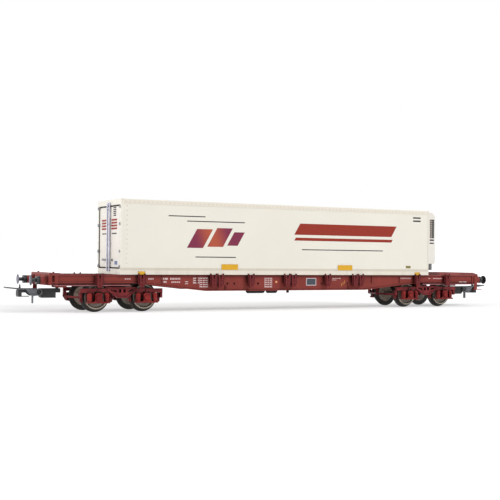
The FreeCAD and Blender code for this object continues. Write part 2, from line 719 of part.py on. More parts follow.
def truss_outline(inset):
    """The boat-shaped middle of the side frame, drawn smaller by an inset."""
    half = [
        (f"2.0 - {inset} / 2", f"{AXLE_HEIGHT} - truss_drop + {inset}"),
        (f"axle_spacing / 2 - 5.85 - {inset} / 2", f"{AXLE_HEIGHT} + 1.4 + {inset}"),
        (f"truss_reach - {inset} * 1.4", f"{CHORD_FOOT} + chord_depth - 0.55 + {inset} / 8"),
        (f"truss_reach - 1.0 - {inset} / 2", f"{CHORD_FOOT} + chord_depth + truss_rise - {inset}"),
    ]
    return mirrored(half)


def truss_openings():
    """Two upright slots and a slanting opening on either side of them."""
    top = f"{CHORD_FOOT} + chord_depth - 0.3"
    opening = [
        ("2.4", f"{CHORD_FOOT} + 0.15"),
        ("3.3", f"{CHORD_FOOT} + 0.3"),
        ("5.0", f"{CHORD_FOOT} + 0.95"),
        ("4.8", top),
        ("2.4", f"{top} - 0.5"),
    ]
    openings = [opening, [(minus(x), z) for x, z in reversed(opening)]]
    for sign in ("-", ""):
        middle = f"{sign}slot_pitch / 2"
        openings.append(block(f"{middle} - slot_width / 2", CHORD_FOOT, f"{middle} + slot_width / 2", top))
    return openings


def bogie_frame(end, turn):
    """Two cast side frames with horn guides, joined by a cross beam with the centre plate."""
    body = new_body("bogie_frame_" + end)
    outside = f"{SIDE_INNER} + side_thickness"
    rim_face = f"{outside} + rim_rise"
    guides = []
    stops = []
    for sign in ("-", ""):
        axle = f"{sign}axle_spacing / 2"
        stops.append(block(f"{axle} - 0.3", f"{CHORD_FOOT} + 0.2", f"{axle} + 0.3", f"{CHORD_FOOT} + chord_depth - 0.2"))
        for beside, edge in ((f"{axle} - box_width / 2 - guide_width", "-"), (f"{axle} + box_width / 2", "+")):
            guides.append(block(f"{beside} {edge} 0.1", f"{AXLE_HEIGHT} - 1.4",
                                f"{beside} {edge} 0.1 + guide_width", f"{CHORD_FOOT} + 0.3"))
    for low, high in ((SIDE_INNER, outside), (minus(outside), minus(SIDE_INNER))):
        pad(body, "y", low, high, side_frame())
        pad(body, "y", low, high, *guides)
    for low, high in ((f"{outside} - 0.1", rim_face), (minus(rim_face), minus(f"{outside} - 0.1"))):
        pad(body, "y", low, high, truss_outline("0"), truss_outline("rim_width"))
        pad(body, "y", low, high, *stops)
    pocket(body, "y", minus(outside), outside, *truss_openings())
    # the cross beam: as wide as the wheels leave room for, and its middle under the centre plate
    foot = f"{AXLE_HEIGHT} + transom_lift"
    top = f"{PLATE_HEIGHT} - fit_gap"
    beside = f"axle_spacing / 2 - {AXLE_HEIGHT} - wheel_clearance"
    pad(body, "z", foot, top, block(minus(beside), minus(SIDE_INNER), beside, SIDE_INNER))
    pad(body, "z", foot, top,
        block(minus("transom_width / 2"), "1 - back_to_back / 2", "transom_width / 2", "back_to_back / 2 - 1"))
    pocket(body, "z", foot, PLATE_HEIGHT, ("0", "0", "pivot_radius + fit_gap"))
    return at_pivot(body, turn)


def axleboxes(end, turn):
    """Four axleboxes with wings under the springs; each has a blind bearing hole."""
    outer = f"{SIDE_INNER} + box_depth"
    half = [
        ("wing_reach", BOX_FOOT),
        ("wing_reach", f"{BOX_FOOT} + wing_thickness"),
        ("box_width / 2 + 0.6", f"{BOX_FOOT} + wing_thickness"),
        ("box_width / 2", f"{BOX_FOOT} + 1.1"),
        ("box_width / 2", f"{CHORD_FOOT} - 0.75"),
        ("box_width / 2 - 0.5", f"{CHORD_FOOT} - 0.3"),
        ("0.6", f"{CHORD_FOOT} - 0.1"),
    ]
    boxes = []
    for sign_x in ("-", ""):
        axle = f"{sign_x}axle_spacing / 2"
        outline = [(f"{axle} + {x}", z) for x, z in half]
        outline += [(f"{axle} - ({x})", z) for x, z in reversed(half)]
        for near in (True, False):
            one = new_body("axlebox")
            low, high = (minus(outer), minus(SIDE_INNER)) if near else (SIDE_INNER, outer)
            face_low, face_high = (minus(f"{outer} + 0.3"), low) if near else (high, f"{outer} + 0.3")
            bore_low, bore_high = (minus(f"{AXLE_TIP} + 0.1"), high) if near else (low, f"{AXLE_TIP} + 0.1")
            pad(one, "y", low, high, outline)
            pad(one, "y", face_low, face_high, (axle, f"{AXLE_HEIGHT} - 0.3", "1.2"))
            pocket(one, "y", bore_low, bore_high, (axle, AXLE_HEIGHT, "journal_radius + fit_gap"))
            boxes.append(one)
    return at_pivot(gather("axleboxes_" + end, boxes), turn)


def springs(end, turn):
    """Two closed spring pots per axlebox, standing on its wings under the side frame."""
    foot = f"{BOX_FOOT} + wing_thickness"
    outline = [
        ("0", foot),
        ("pot_radius - 0.1", foot),
        ("pot_radius", f"{CHORD_FOOT} - 0.65"),
        ("pot_radius / 2", f"{CHORD_FOOT} - fit_gap"),
        ("0", f"{CHORD_FOOT} - fit_gap"),
    ]
    pots = []
    for sign_x in ("-", ""):
        for beside in ("-", ""):
            for side in ("-", ""):
                pot = new_body("spring")
                revolve(pot, "XZ_Plane", outline, "V_Axis")
                x = f"{sign_x}axle_spacing / 2 + {beside}pot_pitch / 2"
                y = f"{side}({SIDE_INNER} + box_depth - pot_radius)"
                pots.append(place(pot, x=x, y=y))
    return at_pivot(gather("springs_" + end, pots), turn)


def brake_shoe(axle, flip):
    """Outline of a curved brake shoe beside a wheel."""
    reach = "tread_radius + shoe_gap"
    edges = [
        (f"{reach} + 0.15", f"{AXLE_HEIGHT} - 2.1"),
        (f"{reach} + shoe_thickness + 0.1", f"{AXLE_HEIGHT} - 2.1"),
        (f"{reach} + shoe_thickness + 0.35", AXLE_HEIGHT),
        (f"{reach} + shoe_thickness", f"{AXLE_HEIGHT} + transom_lift - 2 * fit_gap"),
        (f"{reach} + 0.1", f"{AXLE_HEIGHT} + transom_lift - 2 * fit_gap"),
        (f"{reach} + 0.35", AXLE_HEIGHT),
    ]
    return [(f"{axle} + {flip}({x})", z) for x, z in edges]


def brake_yoke(body, flip):
    """Outer brake beam that runs to a point on the centre line, with its upright lever."""
    start = "axle_spacing / 2 + tread_radius + shoe_gap + shoe_thickness"
    edge = [
        (f"{start} + 0.9", minus(SIDE_INNER)),
        ("yoke_reach + 0.5", "-0.7"),
        ("yoke_reach + 0.5", "0.7"),
        (f"{start} + 0.9", SIDE_INNER),
        (f"{start} + 0.1", SIDE_INNER),
        ("yoke_reach - 0.4", "0.5"),
        ("yoke_reach - 0.4", "-0.5"),
        (f"{start} + 0.1", minus(SIDE_INNER)),
    ]
    lever = [
        ("yoke_reach - 0.2", f"{AXLE_HEIGHT} - 1.5"),
        ("yoke_reach + 0.9", f"{AXLE_HEIGHT} + 0.4"),
        ("yoke_reach + 0.1", f"{AXLE_HEIGHT} + 2.4"),
        ("yoke_reach - 0.6", f"{AXLE_HEIGHT} + 2.4"),
    ]
    pad(body, "z", f"{AXLE_HEIGHT} - 0.4", f"{AXLE_HEIGHT} + 0.4", [(f"{flip}({x})", y) for x, y in edge])
    pad(body, "y", "-0.25", "0.25", [(f"{flip}({x})", z) for x, z in lever])


def brake_beams(end, turn):
    """Clasp brakes: a beam with two shoes on each side of each wheelset, the outer ones on hangers."""
    shoe_back = "back_to_back / 2 + wheel_width"
    shoe_front = f"{shoe_back} - shoe_width"
    beams = []
    for side in ("-", ""):
        for away in (True, False):
            one = new_body("brake_beam")
            flip = side if away else ("" if side else "-")
            axle = f"{side}axle_spacing / 2"
            shoe = brake_shoe(axle, flip)
            pad(one, "y", shoe_front, shoe_back, shoe)
            pad(one, "y", minus(shoe_back), minus(shoe_front), shoe)
            near = f"{axle} + {flip}(tread_radius + shoe_gap + shoe_thickness)"
            far = f"{axle} + {flip}(tread_radius + shoe_gap + shoe_thickness + 0.8)"
            left, right = (near, far) if flip == "" else (far, near)
            if away:
                brake_yoke(one, flip)
                hanger = block(left, f"{AXLE_HEIGHT} - 0.4", right, CHORD_FOOT)
                pad(one, "y", f"{shoe_back} - 0.1", f"{SIDE_INNER} + hanger_width", hanger)
                pad(one, "y", minus(f"{SIDE_INNER} + hanger_width"), minus(f"{shoe_back} - 0.1"), hanger)
            else:
                pad(one, "y", minus(SIDE_INNER), SIDE_INNER,
                    block(left, f"{AXLE_HEIGHT} - 0.5", right, f"{AXLE_HEIGHT} + 0.3"))
            beams.append(one)
    return at_pivot(gather("brake_beams_" + end, beams), turn)


# ---------------------------------------------------------------- wheelsets

# name, bogie's side of the wagon, axle's side of the bogie
WHEELSETS = (
    ("front_outer", "", ""),
    ("front_inner", "", "-"),
    ("rear_inner", "-", ""),
    ("rear_outer", "-", "-"),
)


def wheel_outline():
    """Half section of one wheel: distance along the axle, distance from its centre."""
    back = "back_to_back / 2"
    face = "back_to_back / 2 + wheel_width"
    flange = "tread_radius + flange_depth"
    rim = "tread_radius - rim_depth"
    return [
        (back, "axle_radius"),
        (back, flange),
        (f"{back} + 0.5", flange),
        (f"{back} + 0.8", "tread_radius + 0.1"),
        (face, "tread_radius - 0.1"),
        (face, rim),
        (f"{face} - 0.8", f"{rim} - 0.4"),
        (f"{face} - 0.8", "hub_radius + 0.3"),
        (f"{face} - 0.1", "hub_radius"),
        (f"{face} - 0.1", "axle_radius"),
    ]


def wheelset(name, bogie_sign, axle_sign):
    x = f"{bogie_sign}bogie_spacing / 2 + {axle_sign}axle_spacing / 2"
    wheels = []
    for side in ("-", ""):
        wheel = new_body("wheel")
        outline = wheel_outline()
        if side:
            outline = [(minus(along), out) for along, out in reversed(outline)]
        revolve(wheel, "YZ_Plane", outline, "H_Axis")
        wheels.append(place(wheel, x=x, z=AXLE_HEIGHT))
    face = "back_to_back / 2 + wheel_width"
    half = [
        (AXLE_TIP, "0.08"),
        (f"{AXLE_TIP} - 0.5", "journal_radius"),
        (face, "journal_radius"),
        (face, "axle_radius"),
    ]
    outline = [(minus(AXLE_TIP), "0"), (AXLE_TIP, "0")] + half
    outline += [(minus(along), out) for along, out in reversed(half)]
    axle = new_body("axle_" + name)
    revolve(axle, "YZ_Plane", outline, "H_Axis")
    return [gather("wheels_" + name, wheels), place(axle, x=x, z=AXLE_HEIGHT)]


# ---------------------------------------------------------------- couplers


def coupler_shank(end, turn):
    """Shank that swings behind the headstock, with the coupler pocket at its front."""
    body = new_body("coupler_shank_" + end)
    width = "shank_width / 2"
    tail = f"{SWING_REACH} - tail_length"
    box_start = f"{SWING_REACH} + 0.9"
    outline = [
        (tail, "shank_foot + 2.1"),
        (box_start, "shank_foot + 2.1"),
        (box_start, "shank_foot"),
        (f"{LOOP_REACH} - loop_eye_radius", "shank_foot"),
        (SHANK_FACE, "shank_foot + 0.5"),
        (SHANK_FACE, "shank_top"),
        (tail, "shank_top"),
    ]
    pad(body, "y", minus(width), width, outline)
    pad(body, "z", "shank_top - 0.5", "channel_foot", (SWING_REACH, "0", "swing_radius"))
    return place(body, turn=turn)


def coupler_hook(end, turn):
    """Front plate with its upright hook and thin foot strap, on a bar from the pocket."""
    body = new_body("coupler_hook_" + end)
    face = f"{LOOP_REACH} + hook_reach"
    bar_top = "shank_top - 0.35"
    bar = [
        (SHANK_FACE, "loop_height - 0.9"),
        (f"{SHANK_FACE} + 2.2", "loop_height - 0.9"),
        (f"{SHANK_FACE} + 3.0", "loop_height - 0.2"),
        (f"{face} - 1.0", "loop_height - 0.2"),
        (f"{face} - 1.0", bar_top),
        (SHANK_FACE, bar_top),
    ]
    plate = [
        (f"{face} - 1.4", "shank_foot + 0.5"),
        (f"{face} - 0.2", "shank_foot + 0.5"),
        (face, "shank_foot + 1.2"),
        (face, f"{bar_top} - 0.5"),
        (f"{face} - 0.5", bar_top),
        (f"{face} - 1.4", bar_top),
    ]
    spike = [
        (f"{face} - 1.4", f"{bar_top} - 0.2"),
        (f"{face} - 0.6", f"{bar_top} - 0.2"),
        (f"{face} - 0.95", "hook_tip_height"),
        (f"{face} - 1.2", "hook_tip_height"),
    ]
    strap = block(f"{LOOP_REACH} + 3.6", "shank_foot + 0.5", f"{face} - 1.2", "shank_foot + 0.75")
    pad(body, "y", "-0.8", "0.8", bar)
    pad(body, "y", "-1.9", "1.9", plate)
    pad(body, "y", "-0.5", "0.5", spike)
    pad(body, "y", "-0.8", "0.8", strap)
    pad(body, "y", minus("loop_width / 2 + 0.1"), "loop_width / 2 + 0.1", (LOOP_REACH, "loop_height", "loop_pin_radius"))
    return place(body, turn=turn)


def loop_cheek_outline():
    eye = "loop_eye_radius"
    x = LOOP_REACH
    z = "loop_height"
    return [
        (f"{x} - {eye} * 0.71", f"{z} - {eye} * 0.71"),
        (x, f"{z} - {eye}"),
        (f"{x} + 1.2", f"{z} - {eye}"),
        (f"{x} + 2.6", f"{z} - {eye} - 0.1"),
        (f"{x} + 3.7", f"{z} - 0.9"),
        (f"{x} + 4.6", f"{z} + 0.2"),
        (f"{x} + 5.2", f"{z} + 1.1"),
        (f"{x} + 5.2", f"{z} + 1.5"),
        (x, f"{z} + {eye}"),
        (f"{x} - {eye} * 0.71", f"{z} + {eye} * 0.71"),
        (f"{x} - {eye}", z),
    ]


def coupler_loop(end, turn):
    """Lifting loop: two cheeks on the pivot pin, a wire bow in front and a trip strip below."""
    body = new_body("coupler_loop_" + end)
    x = LOOP_REACH
    z = "loop_height"
    outer = "loop_width / 2"
    inner = "loop_width / 2 - loop_cheek"
    tip = f"{x} + loop_tip_reach"
    low_foot = f"{z} - loop_eye_radius - 0.1"
    wire = [
        (f"{x} + 4.9", f"{z} + 1.1"),
        (f"{x} + 8.4", f"{z} + 1.1"),
        (tip, f"{z} + 1.6"),
        (tip, f"{z} + 1.6 + 2 * loop_wire"),
        (f"{x} + 8.4", f"{z} + 1.1 + 2 * loop_wire"),
        (f"{x} + 4.9", f"{z} + 1.5"),
    ]
    for low, high in ((inner, outer), (minus(outer), minus(inner))):
        pad(body, "y", low, high, loop_cheek_outline())
        pad(body, "y", low, high, wire)
    pad(body, "y", minus(outer), outer,
        block(f"{tip} - 2 * loop_wire", f"{z} + 1.55", tip, f"{z} + 1.6 + 2 * loop_wire"))
    pad(body, "y", minus(outer), outer,
        block(f"{x} + 1.6", low_foot, f"{x} + 2.4", f"{low_foot} + 0.4"))
    pad(body, "y", "-0.7", "0.7", block(f"{x} + 1.8", "trip_foot", f"{x} + 2.2", f"{low_foot} + 0.3"))
    pocket(body, "y", minus(outer), outer, (x, z, "loop_pin_radius + fit_gap"))
    return place(body, turn=turn)


# ---------------------------------------------------------------- container


def container_floor():
    body = new_body("container_floor")
    inside = f"{SIDE} - wall_thickness"
    pad(body, "x", f"{REAR} + post_width", f"{FRONT} - wall_thickness",
        block(minus(inside), BASE, inside, f"{BASE} + floor_thickness"))
    for x in PIN_PLACES:
        left = f"{x} - casting_length / 2"
        right = f"{x} + casting_length / 2"
        pocket(body, "z", f"{BASE} - 0.1", f"{BASE} + casting_height",
               block(left, minus(f"{inside} + 0.1"), right, minus(CASTING_BACK)),
               block(left, CASTING_BACK, right, f"{inside} + 0.1"))
    return body


def container_sides():
    """Insulated side wall with a proud rail along its top and bottom."""
    right = new_body("container_side_right")
    panel = minus(f"{SIDE} - rail_proud")
    inside = minus(f"{SIDE} - wall_thickness")
    outline = [
        (inside, BASE),
        (minus(SIDE), BASE),
        (minus(SIDE), f"{BASE} + bottom_rail"),
        (panel, f"{BASE} + bottom_rail"),
        (panel, f"{ROOF} - top_rail"),
        (minus(SIDE), f"{ROOF} - top_rail"),
        (minus(SIDE), f"{ROOF} - 0.3"),
        (minus(f"{SIDE} - 0.3"), ROOF),
        (inside, ROOF),
    ]
    pad(right, "x", f"{REAR} + post_width", f"{FRONT} - wall_thickness", outline)
    for x in PIN_PLACES:
        pocket(right, "y", minus(SIDE), inside,
               block(f"{x} - casting_length / 2", f"{BASE} - 0.1", f"{x} + casting_length / 2", f"{BASE} + casting_height"))
    return [right, mirror_across("container_side_left", right)]


def container_roof():
    body = new_body("container_roof")
    inside = f"{SIDE} - wall_thickness"
    pad(body, "x", f"{REAR} + post_width", f"{FRONT} - wall_thickness",
        block(minus(inside), f"{ROOF} - wall_thickness", inside, ROOF))
    return body


def container_front_wall():
    """End wall behind the refrigeration unit, with bevelled corners."""
    body = new_body("container_front_wall")
    outline = [
        (f"{FRONT} - wall_thickness", minus(SIDE)),
        (f"{FRONT} - corner_bevel", minus(SIDE)),
        (FRONT, minus(f"{SIDE} - corner_bevel")),
        (FRONT, f"{SIDE} - corner_bevel"),
        (f"{FRONT} - corner_bevel", SIDE),
        (f"{FRONT} - wall_thickness", SIDE),
    ]
    pad(body, "z", BASE, ROOF, outline)
    return body


def container_rear_frame():
    """Portal around the two doors."""
    body = new_body("container_rear_frame")
    post = f"{SIDE} - post_width"
    pad(body, "x", REAR, f"{REAR} + post_width",
        block(minus(SIDE), BASE, SIDE, ROOF),
        block(minus(post), f"{BASE} + threshold_height", post, f"{ROOF} - header_height"))
    return body


def container_doors():
    """Left and right rear doors, moulded shut."""
    doors = []
    post = f"{SIDE} - post_width - door_gap"
    low = f"{BASE} + threshold_height + door_gap"
    high = f"{ROOF} - header_height - door_gap"
    for name, left, right in (("right", minus(post), "-door_gap / 2"), ("left", "door_gap / 2", post)):
        door = new_body("container_door_" + name)
        pad(door, "x", f"{REAR} + door_inset", f"{REAR} + door_inset + wall_thickness",
            block(left, low, right, high))
        doors.append(door)
    return doors


def door_hardware():
    """One full-height lock bar on each door, beside the middle."""
    bars = []
    for side in ("-", ""):
        bars.append(cylinder("lock_bar", "lock_bar_radius", "box_height - 2.4",
                             f"{REAR} - lock_bar_radius",
                             f"{side}lock_bar_offset", f"{BASE} + 1.2"))
    return [gather("door_lock_bars", bars)]


def corner_castings():
    """Yellow castings in the container's bottom rails, over the locating pins."""
    castings = []
    for x in PIN_PLACES:
        for near in (True, False):
            one = new_body("corner_casting")
            low, high = (minus(SIDE), minus(CASTING_BACK)) if near else (CASTING_BACK, SIDE)
            half = [
                ("casting_length / 2", BASE),
                ("casting_length / 2", f"{BASE} + casting_height - 0.5"),
                ("casting_length / 2 - 0.5", f"{BASE} + casting_height"),
            ]
            outline = [(f"{x} + {dx}", z) for dx, z in half] + [(f"{x} - ({dx})", z) for dx, z in reversed(half)]
            pad(one, "y", low, high, outline)
            y = minus(PIN_ACROSS) if near else PIN_ACROSS
            pocket(one, "z", f"{BASE} - 0.1", f"{BASE} + pin_length", (x, y, "pin_radius + 2 * fit_gap"))
            castings.append(one)
    return [gather("corner_castings", castings)]


def refrigeration_unit():
    """Nose-mounted cooling unit: a deep upper part with air slots in its sides, over a shallower foot."""
    body = new_body("refrigeration_unit")
    foot = f"{BASE} + unit_foot"
    step = f"{BASE} + unit_foot + unit_step"
    top = f"{ROOF} - unit_top_gap"
    face = f"{FRONT} + unit_depth"
    outline = [
        (FRONT, foot),
        (f"{FRONT} + unit_inner_depth", foot),
        (f"{FRONT} + unit_inner_depth", step),
        (f"{face} - 0.5", step),
        (face, f"{step} + 0.7"),
        (face, f"{top} - 2.4"),
        (f"{face} - 0.3", f"{top} - 1.4"),
        (f"{face} - 1.0", f"{top} - 0.5"),
        (f"{face} - 2.2", top),
        (FRONT, top),
    ]
    pad(body, "y", minus("unit_width / 2"), "unit_width / 2", outline)
    slots = []
    for column in ("2.45", "3.75"):
        for index in range(9):
            up = f"{top} - 4.0 - {index} * 2 * louvre_height"
            slots.append(block(f"{FRONT} + {column}", up, f"{FRONT} + {column} + louvre_width", f"{up} + louvre_height"))
    pocket(body, "y", minus("unit_width / 2"), minus("unit_width / 2 - 0.5"), *slots)
    pocket(body, "y", "unit_width / 2 - 0.5", "unit_width / 2", *slots)
    return body


# ---------------------------------------------------------------- build and write


def build():
    fill_sheet()
    pieces = side_sills() + cross_members() + end_decks() + container_brackets() + container_pins()
    pieces += corner_steps() + brake_gear()
    for end, turn in ENDS:
        for piece in (bolster, centre_sills, headstock, buffers, coupler_mount):
            pieces.append(piece(end, turn))
        for piece in (bogie_frame, axleboxes, springs, brake_beams):
            pieces.append(piece(end, turn))
        for piece in (coupler_shank, coupler_hook, coupler_loop):
            pieces.append(piece(end, turn))
    for name, bogie_sign, axle_sign in WHEELSETS:
        pieces += wheelset(name, bogie_sign, axle_sign)
    pieces += container_sides() + container_doors() + door_hardware() + corner_castings()
    pieces += [container_floor(), container_roof(), container_front_wall()]
    pieces += [container_rear_frame(), refrigeration_unit()]
    doc.recompute()
    return pieces


def check(pieces):
    for item in doc.Objects:
        if "Invalid" in item.State or "Error" in item.State:
            raise RuntimeError(f"{item.Label} failed: {item.State}")
        if item.TypeId == "PartDesign::Pocket":
            removed = item.BaseFeature.Shape.Volume - item.Shape.Volume
            if removed < 1e-4:
                raise RuntimeError(f"{item.Label} cuts nothing")
    for piece in pieces:
        if piece.Shape.isNull() or not piece.Shape.isValid() or not piece.Shape.Solids:
            raise RuntimeError(f"{piece.Label} has no sound shape")


def write(pieces):
    os.makedirs("parts", exist_ok=True)
    for piece in pieces:
        piece.Shape.exportStep(f"parts/{piece.Label}.step")


pieces = build()
check(pieces)
write(pieces)
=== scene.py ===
import json
import math

import bpy
from mathutils import Matrix, Vector


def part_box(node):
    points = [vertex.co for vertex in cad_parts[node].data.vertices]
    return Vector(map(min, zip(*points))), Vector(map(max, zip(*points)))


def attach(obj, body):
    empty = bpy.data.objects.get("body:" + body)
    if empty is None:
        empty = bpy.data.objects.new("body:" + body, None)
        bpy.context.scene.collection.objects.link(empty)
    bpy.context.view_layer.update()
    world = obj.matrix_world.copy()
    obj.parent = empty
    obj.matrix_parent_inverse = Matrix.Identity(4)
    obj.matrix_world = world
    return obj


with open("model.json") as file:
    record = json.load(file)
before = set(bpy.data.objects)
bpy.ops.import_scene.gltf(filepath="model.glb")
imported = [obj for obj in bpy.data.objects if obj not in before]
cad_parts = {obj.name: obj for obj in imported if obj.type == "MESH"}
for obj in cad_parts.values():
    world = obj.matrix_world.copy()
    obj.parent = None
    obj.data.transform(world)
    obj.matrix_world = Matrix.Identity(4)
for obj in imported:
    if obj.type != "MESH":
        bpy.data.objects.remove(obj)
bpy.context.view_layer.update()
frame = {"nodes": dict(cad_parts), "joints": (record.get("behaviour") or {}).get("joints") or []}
nodes = frame["nodes"]


# ---------------------------------------------------------------- camera
# A long lens just above deck height, on the right-hand side and nearer the door end. It
# looks a little upwards, with a slight lean to one side.
yaw, pitch, roll = 0.4851, 0.0095, 0.0106
eye = (-0.212776, -0.379667, 0.022163)
forward = Vector((math.sin(yaw) * math.cos(pitch), math.cos(yaw) * math.cos(pitch), math.sin(pitch)))
level = Vector((math.cos(yaw), -math.sin(yaw), 0.0))
right = level * math.cos(roll) + level.cross(forward) * math.sin(roll)
camera_data = bpy.data.cameras.new("camera")
camera_data.lens = 68.695
camera_data.clip_start = 0.01
camera = bpy.data.objects.new("camera", camera_data)
bpy.context.scene.collection.objects.link(camera)
turn = Matrix((right, right.cross(forward), -forward)).transposed().to_4x4()
camera.matrix_world = Matrix.Translation(eye) @ turn
bpy.context.scene.camera = camera
bpy.context.scene.view_settings.view_transform = "Standard"


# ---------------------------------------------------------------- underframe
# Sills, cross members, decks, headstocks, brackets and brake gear are injection-moulded
# plastic, glued together and sprayed a matt oxide red. The spray leaves soft clouds in the
# colour, a fine orange peel and a little dust on top, and a painted shade darkens the corners.
MM = 0.001


class Wire:
    """One value running through a finish. Arithmetic on it adds the Math nodes."""

    def __init__(self, tree, socket):
        self.tree = tree
        self.socket = socket

    def node(self, kind, settings, sockets, output=0):
        made = self.tree.nodes.new("ShaderNode" + kind)
        for name, value in settings.items():
            setattr(made, name, value)
        for name, value in sockets.items():
            if isinstance(value, Wire):
                self.tree.links.new(value.socket, made.inputs[name])
            else:
                made.inputs[name].default_value = value
        return Wire(self.tree, made.outputs[output])

    def maths(self, operation, first, second=0.0):
        return self.node("Math", {"operation": operation}, {0: first, 1: second})

    def __add__(self, other):
        return self.maths("ADD", self, other)

    def __radd__(self, other):
        return self.maths("ADD", other, self)

    def __sub__(self, other):
        return self.maths("SUBTRACT", self, other)

    def __rsub__(self, other):
        return self.maths("SUBTRACT", other, self)

    def __mul__(self, other):
        return self.maths("MULTIPLY", self, other)

    def __rmul__(self, other):
        return self.maths("MULTIPLY", other, self)

    def __truediv__(self, other):
        return self.maths("DIVIDE", self, other)

    def __mod__(self, other):
        return self.maths("FLOORED_MODULO", self, other)

    def __pow__(self, other):
        return self.maths("POWER", self, other)

    def __abs__(self):
        return self.maths("ABSOLUTE", self)

    def axis(self, index):
        return self.node("SeparateXYZ", {}, {0: self}, index)

    def ramp(self, low, high):
        """0 below one level, 1 above the other, smooth between; either may be the lower."""
        return self.node("MapRange", {"interpolation_type": "SMOOTHSTEP"}, {0: self, 1: low, 2: high})

    def between(self, low, high, soft):
        return self.ramp(low - soft, low + soft) * self.ramp(high + soft, high - soft)

    def noise(self, per_metre, detail=2.0, stretch=(1.0, 1.0, 1.0)):
        place = self.node("Mapping", {}, {"Vector": self, "Scale": stretch})
        return self.node("TexNoise", {}, {"Vector": place, "Scale": per_metre, "Detail": detail})

    def mix(self, without, with_it):
        """A colour that goes from one to another as this value goes from 0 to 1."""
        return self.node("Mix", {"data_type": "RGBA"}, {0: self, 6: without, 7: with_it}, 2)


def shade(red, green, blue):
    """A shade from a colour chart, 0 to 255, in the renderer's own values."""
    return tuple(((v / 255 + 0.055) / 1.055) ** 2.4 for v in (red, green, blue)) + (1.0,)


def dimmed(colour, share):
    return tuple(value * share for value in colour[:3]) + (1.0,)


def surface(name, metallic=0.0, coat=0.0, specular=0.5):
    """A new finish: its shader, and the wire that says where on the piece a point is."""
    material = bpy.data.materials.new(name)
    material.use_nodes = True
    tree = material.node_tree
    shader = tree.nodes["Principled BSDF"]
    shader.inputs["Metallic"].default_value = metallic
    shader.inputs["Coat Weight"].default_value = coat
    shader.inputs["Specular IOR Level"].default_value = specular
    place = Wire(tree, tree.nodes.new("ShaderNodeTexCoord").outputs["Object"])
    return material, shader, place


def finish(shader, colour, rough, height, depth):
    """Feeds a finish's colour, roughness and relief, with the relief's depth in millimetres."""
    bump = height.node("Bump", {}, {"Strength": 1.0, "Distance": depth * MM, "Height": height})
    for wire, name in ((colour, "Base Color"), (rough, "Roughness"), (bump, "Normal")):
        wire.tree.links.new(wire.socket, shader.inputs[name])


def corners(place, reach):
    """1 in the open, falling towards 0 in tight corners, where the finishes paint shade."""
    return place.node("AmbientOcclusion", {"samples": 6}, {"Distance": reach * MM}, 1)


def facing(place, index):
    """How squarely the surface looks along one axis, from -1 to 1."""
    return place.node("NewGeometry", {}, {}, 1).axis(index)


def sprayed(name, coat_shade, corner_shade, dust, *tones_and_painted_light):
    """The spray, then bands over it: second tones, painted shades and painted highlights, each given by where
    it lies, its darker colour and its lighter one.
    """
    material, shader, place = surface(name, specular=0.2)
    cloud = place.noise(130, 3)
    fleck = place.noise(2400, 2)
    streak = place.noise(420, 3, (1.0, 1.0, 0.12))
    worn = cloud.ramp(0.3, 0.72) * 0.55 + fleck.ramp(0.3, 0.7) * 0.25 + streak.ramp(0.35, 0.7) * 0.2
    colour = worn.mix(dimmed(coat_shade, 0.80), coat_shade)
    # painted shade: the colour darkens in tight corners, where shade falls
    colour = (corners(place, 1.8).ramp(0.92, 0.42) * 0.92).mix(colour, corner_shade)
    colour = (facing(place, 2).ramp(0.4, 0.95) * (0.12 + cloud.ramp(0.4, 0.75) * 0.3)).mix(colour, dust)
    for where, darker, lighter in tones_and_painted_light:
        colour = where(place).mix(colour, fleck.ramp(0.3, 0.7).mix(darker, lighter))
    finish(shader, colour, 0.56 + (fleck - 0.5) * 0.22, place.noise(5200, 2), 0.018)
    return material


def coat(material, *names):
    for name in names:
        nodes[name].data.materials.clear()
        nodes[name].data.materials.append(material)


ENDS = ("front", "rear")
# the coat, the painted shade in its corners, and its dust
OXIDE = (shade(142, 60, 53), shade(46, 8, 10), shade(146, 84, 78))
oxide_red = sprayed("oxide_red_spray", *OXIDE)
coat(oxide_red, "cross_members", "container_pins", "corner_steps", "brake_pipe",
     *[part + end for part in ("bolster_", "centre_sills_", "coupler_mount_") for end in ENDS])


# ---------------------------------------------------------------- side sills
# The sills are sprayed too. The round holes in their webs are painted near black, a painted
# shade. Their top edge and lower rail carry painted highlights, with a painted shade between
# rail and sill.
WEB_HOLES = (-30.4, -27.1, -15.5, 17.3, 31.0)
HOLE_HEIGHT = 11.55


def inside_holes(place):
    along, up = place.axis(0) / MM, place.axis(2) / MM - HOLE_HEIGHT
    dark = 0.0
    for hole in WEB_HOLES:
        dark = dark + (((along - hole) * (along - hole) + up * up) ** 0.5).ramp(0.52, 0.46)
    return dark


def height_band(low, high, strength):
    """A band between two heights, on the straight ends of the sills over the bogies, for their painted shade
    and highlights.
    """
    def lies(place):
        over_bogies = (abs(place.axis(0)) / MM).ramp(72.0, 74.5)
        return (place.axis(2) / MM).between(low, high, 0.03) * over_bogies * strength
    return lies


# painted shade in the holes and under the rail; painted highlights on the lower rail and top edge
sills = sprayed("side_sill_spray", *OXIDE, (inside_holes, shade(14, 6, 6), shade(30, 10, 10)),
                (height_band(11.18, 11.82, 0.7), shade(44, 6, 10), shade(62, 12, 16)),
                (height_band(10.7, 11.18, 0.55), shade(160, 104, 112), shade(186, 136, 142)),
                (height_band(15.0, 15.4, 0.3), shade(160, 90, 96), shade(180, 116, 120)))
coat(sills, "side_sill_right", "side_sill_left")


# ---------------------------------------------------------------- headstocks and brake tanks
# The headstocks are red up to the front edge of the buffer sleeves, and the brake tanks turn
# black on their undersides, below a set height.
NEAR_BLACK = (shade(24, 23, 25), shade(48, 46, 48))
sleeve_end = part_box("headstock_front")[1][0] / MM


def on_sleeves(place):
    return abs(place.axis(0) / MM).ramp(sleeve_end - 0.7, sleeve_end - 0.55)


def under_tanks(place):
    return (place.axis(2) / MM).ramp(8.35, 7.95)


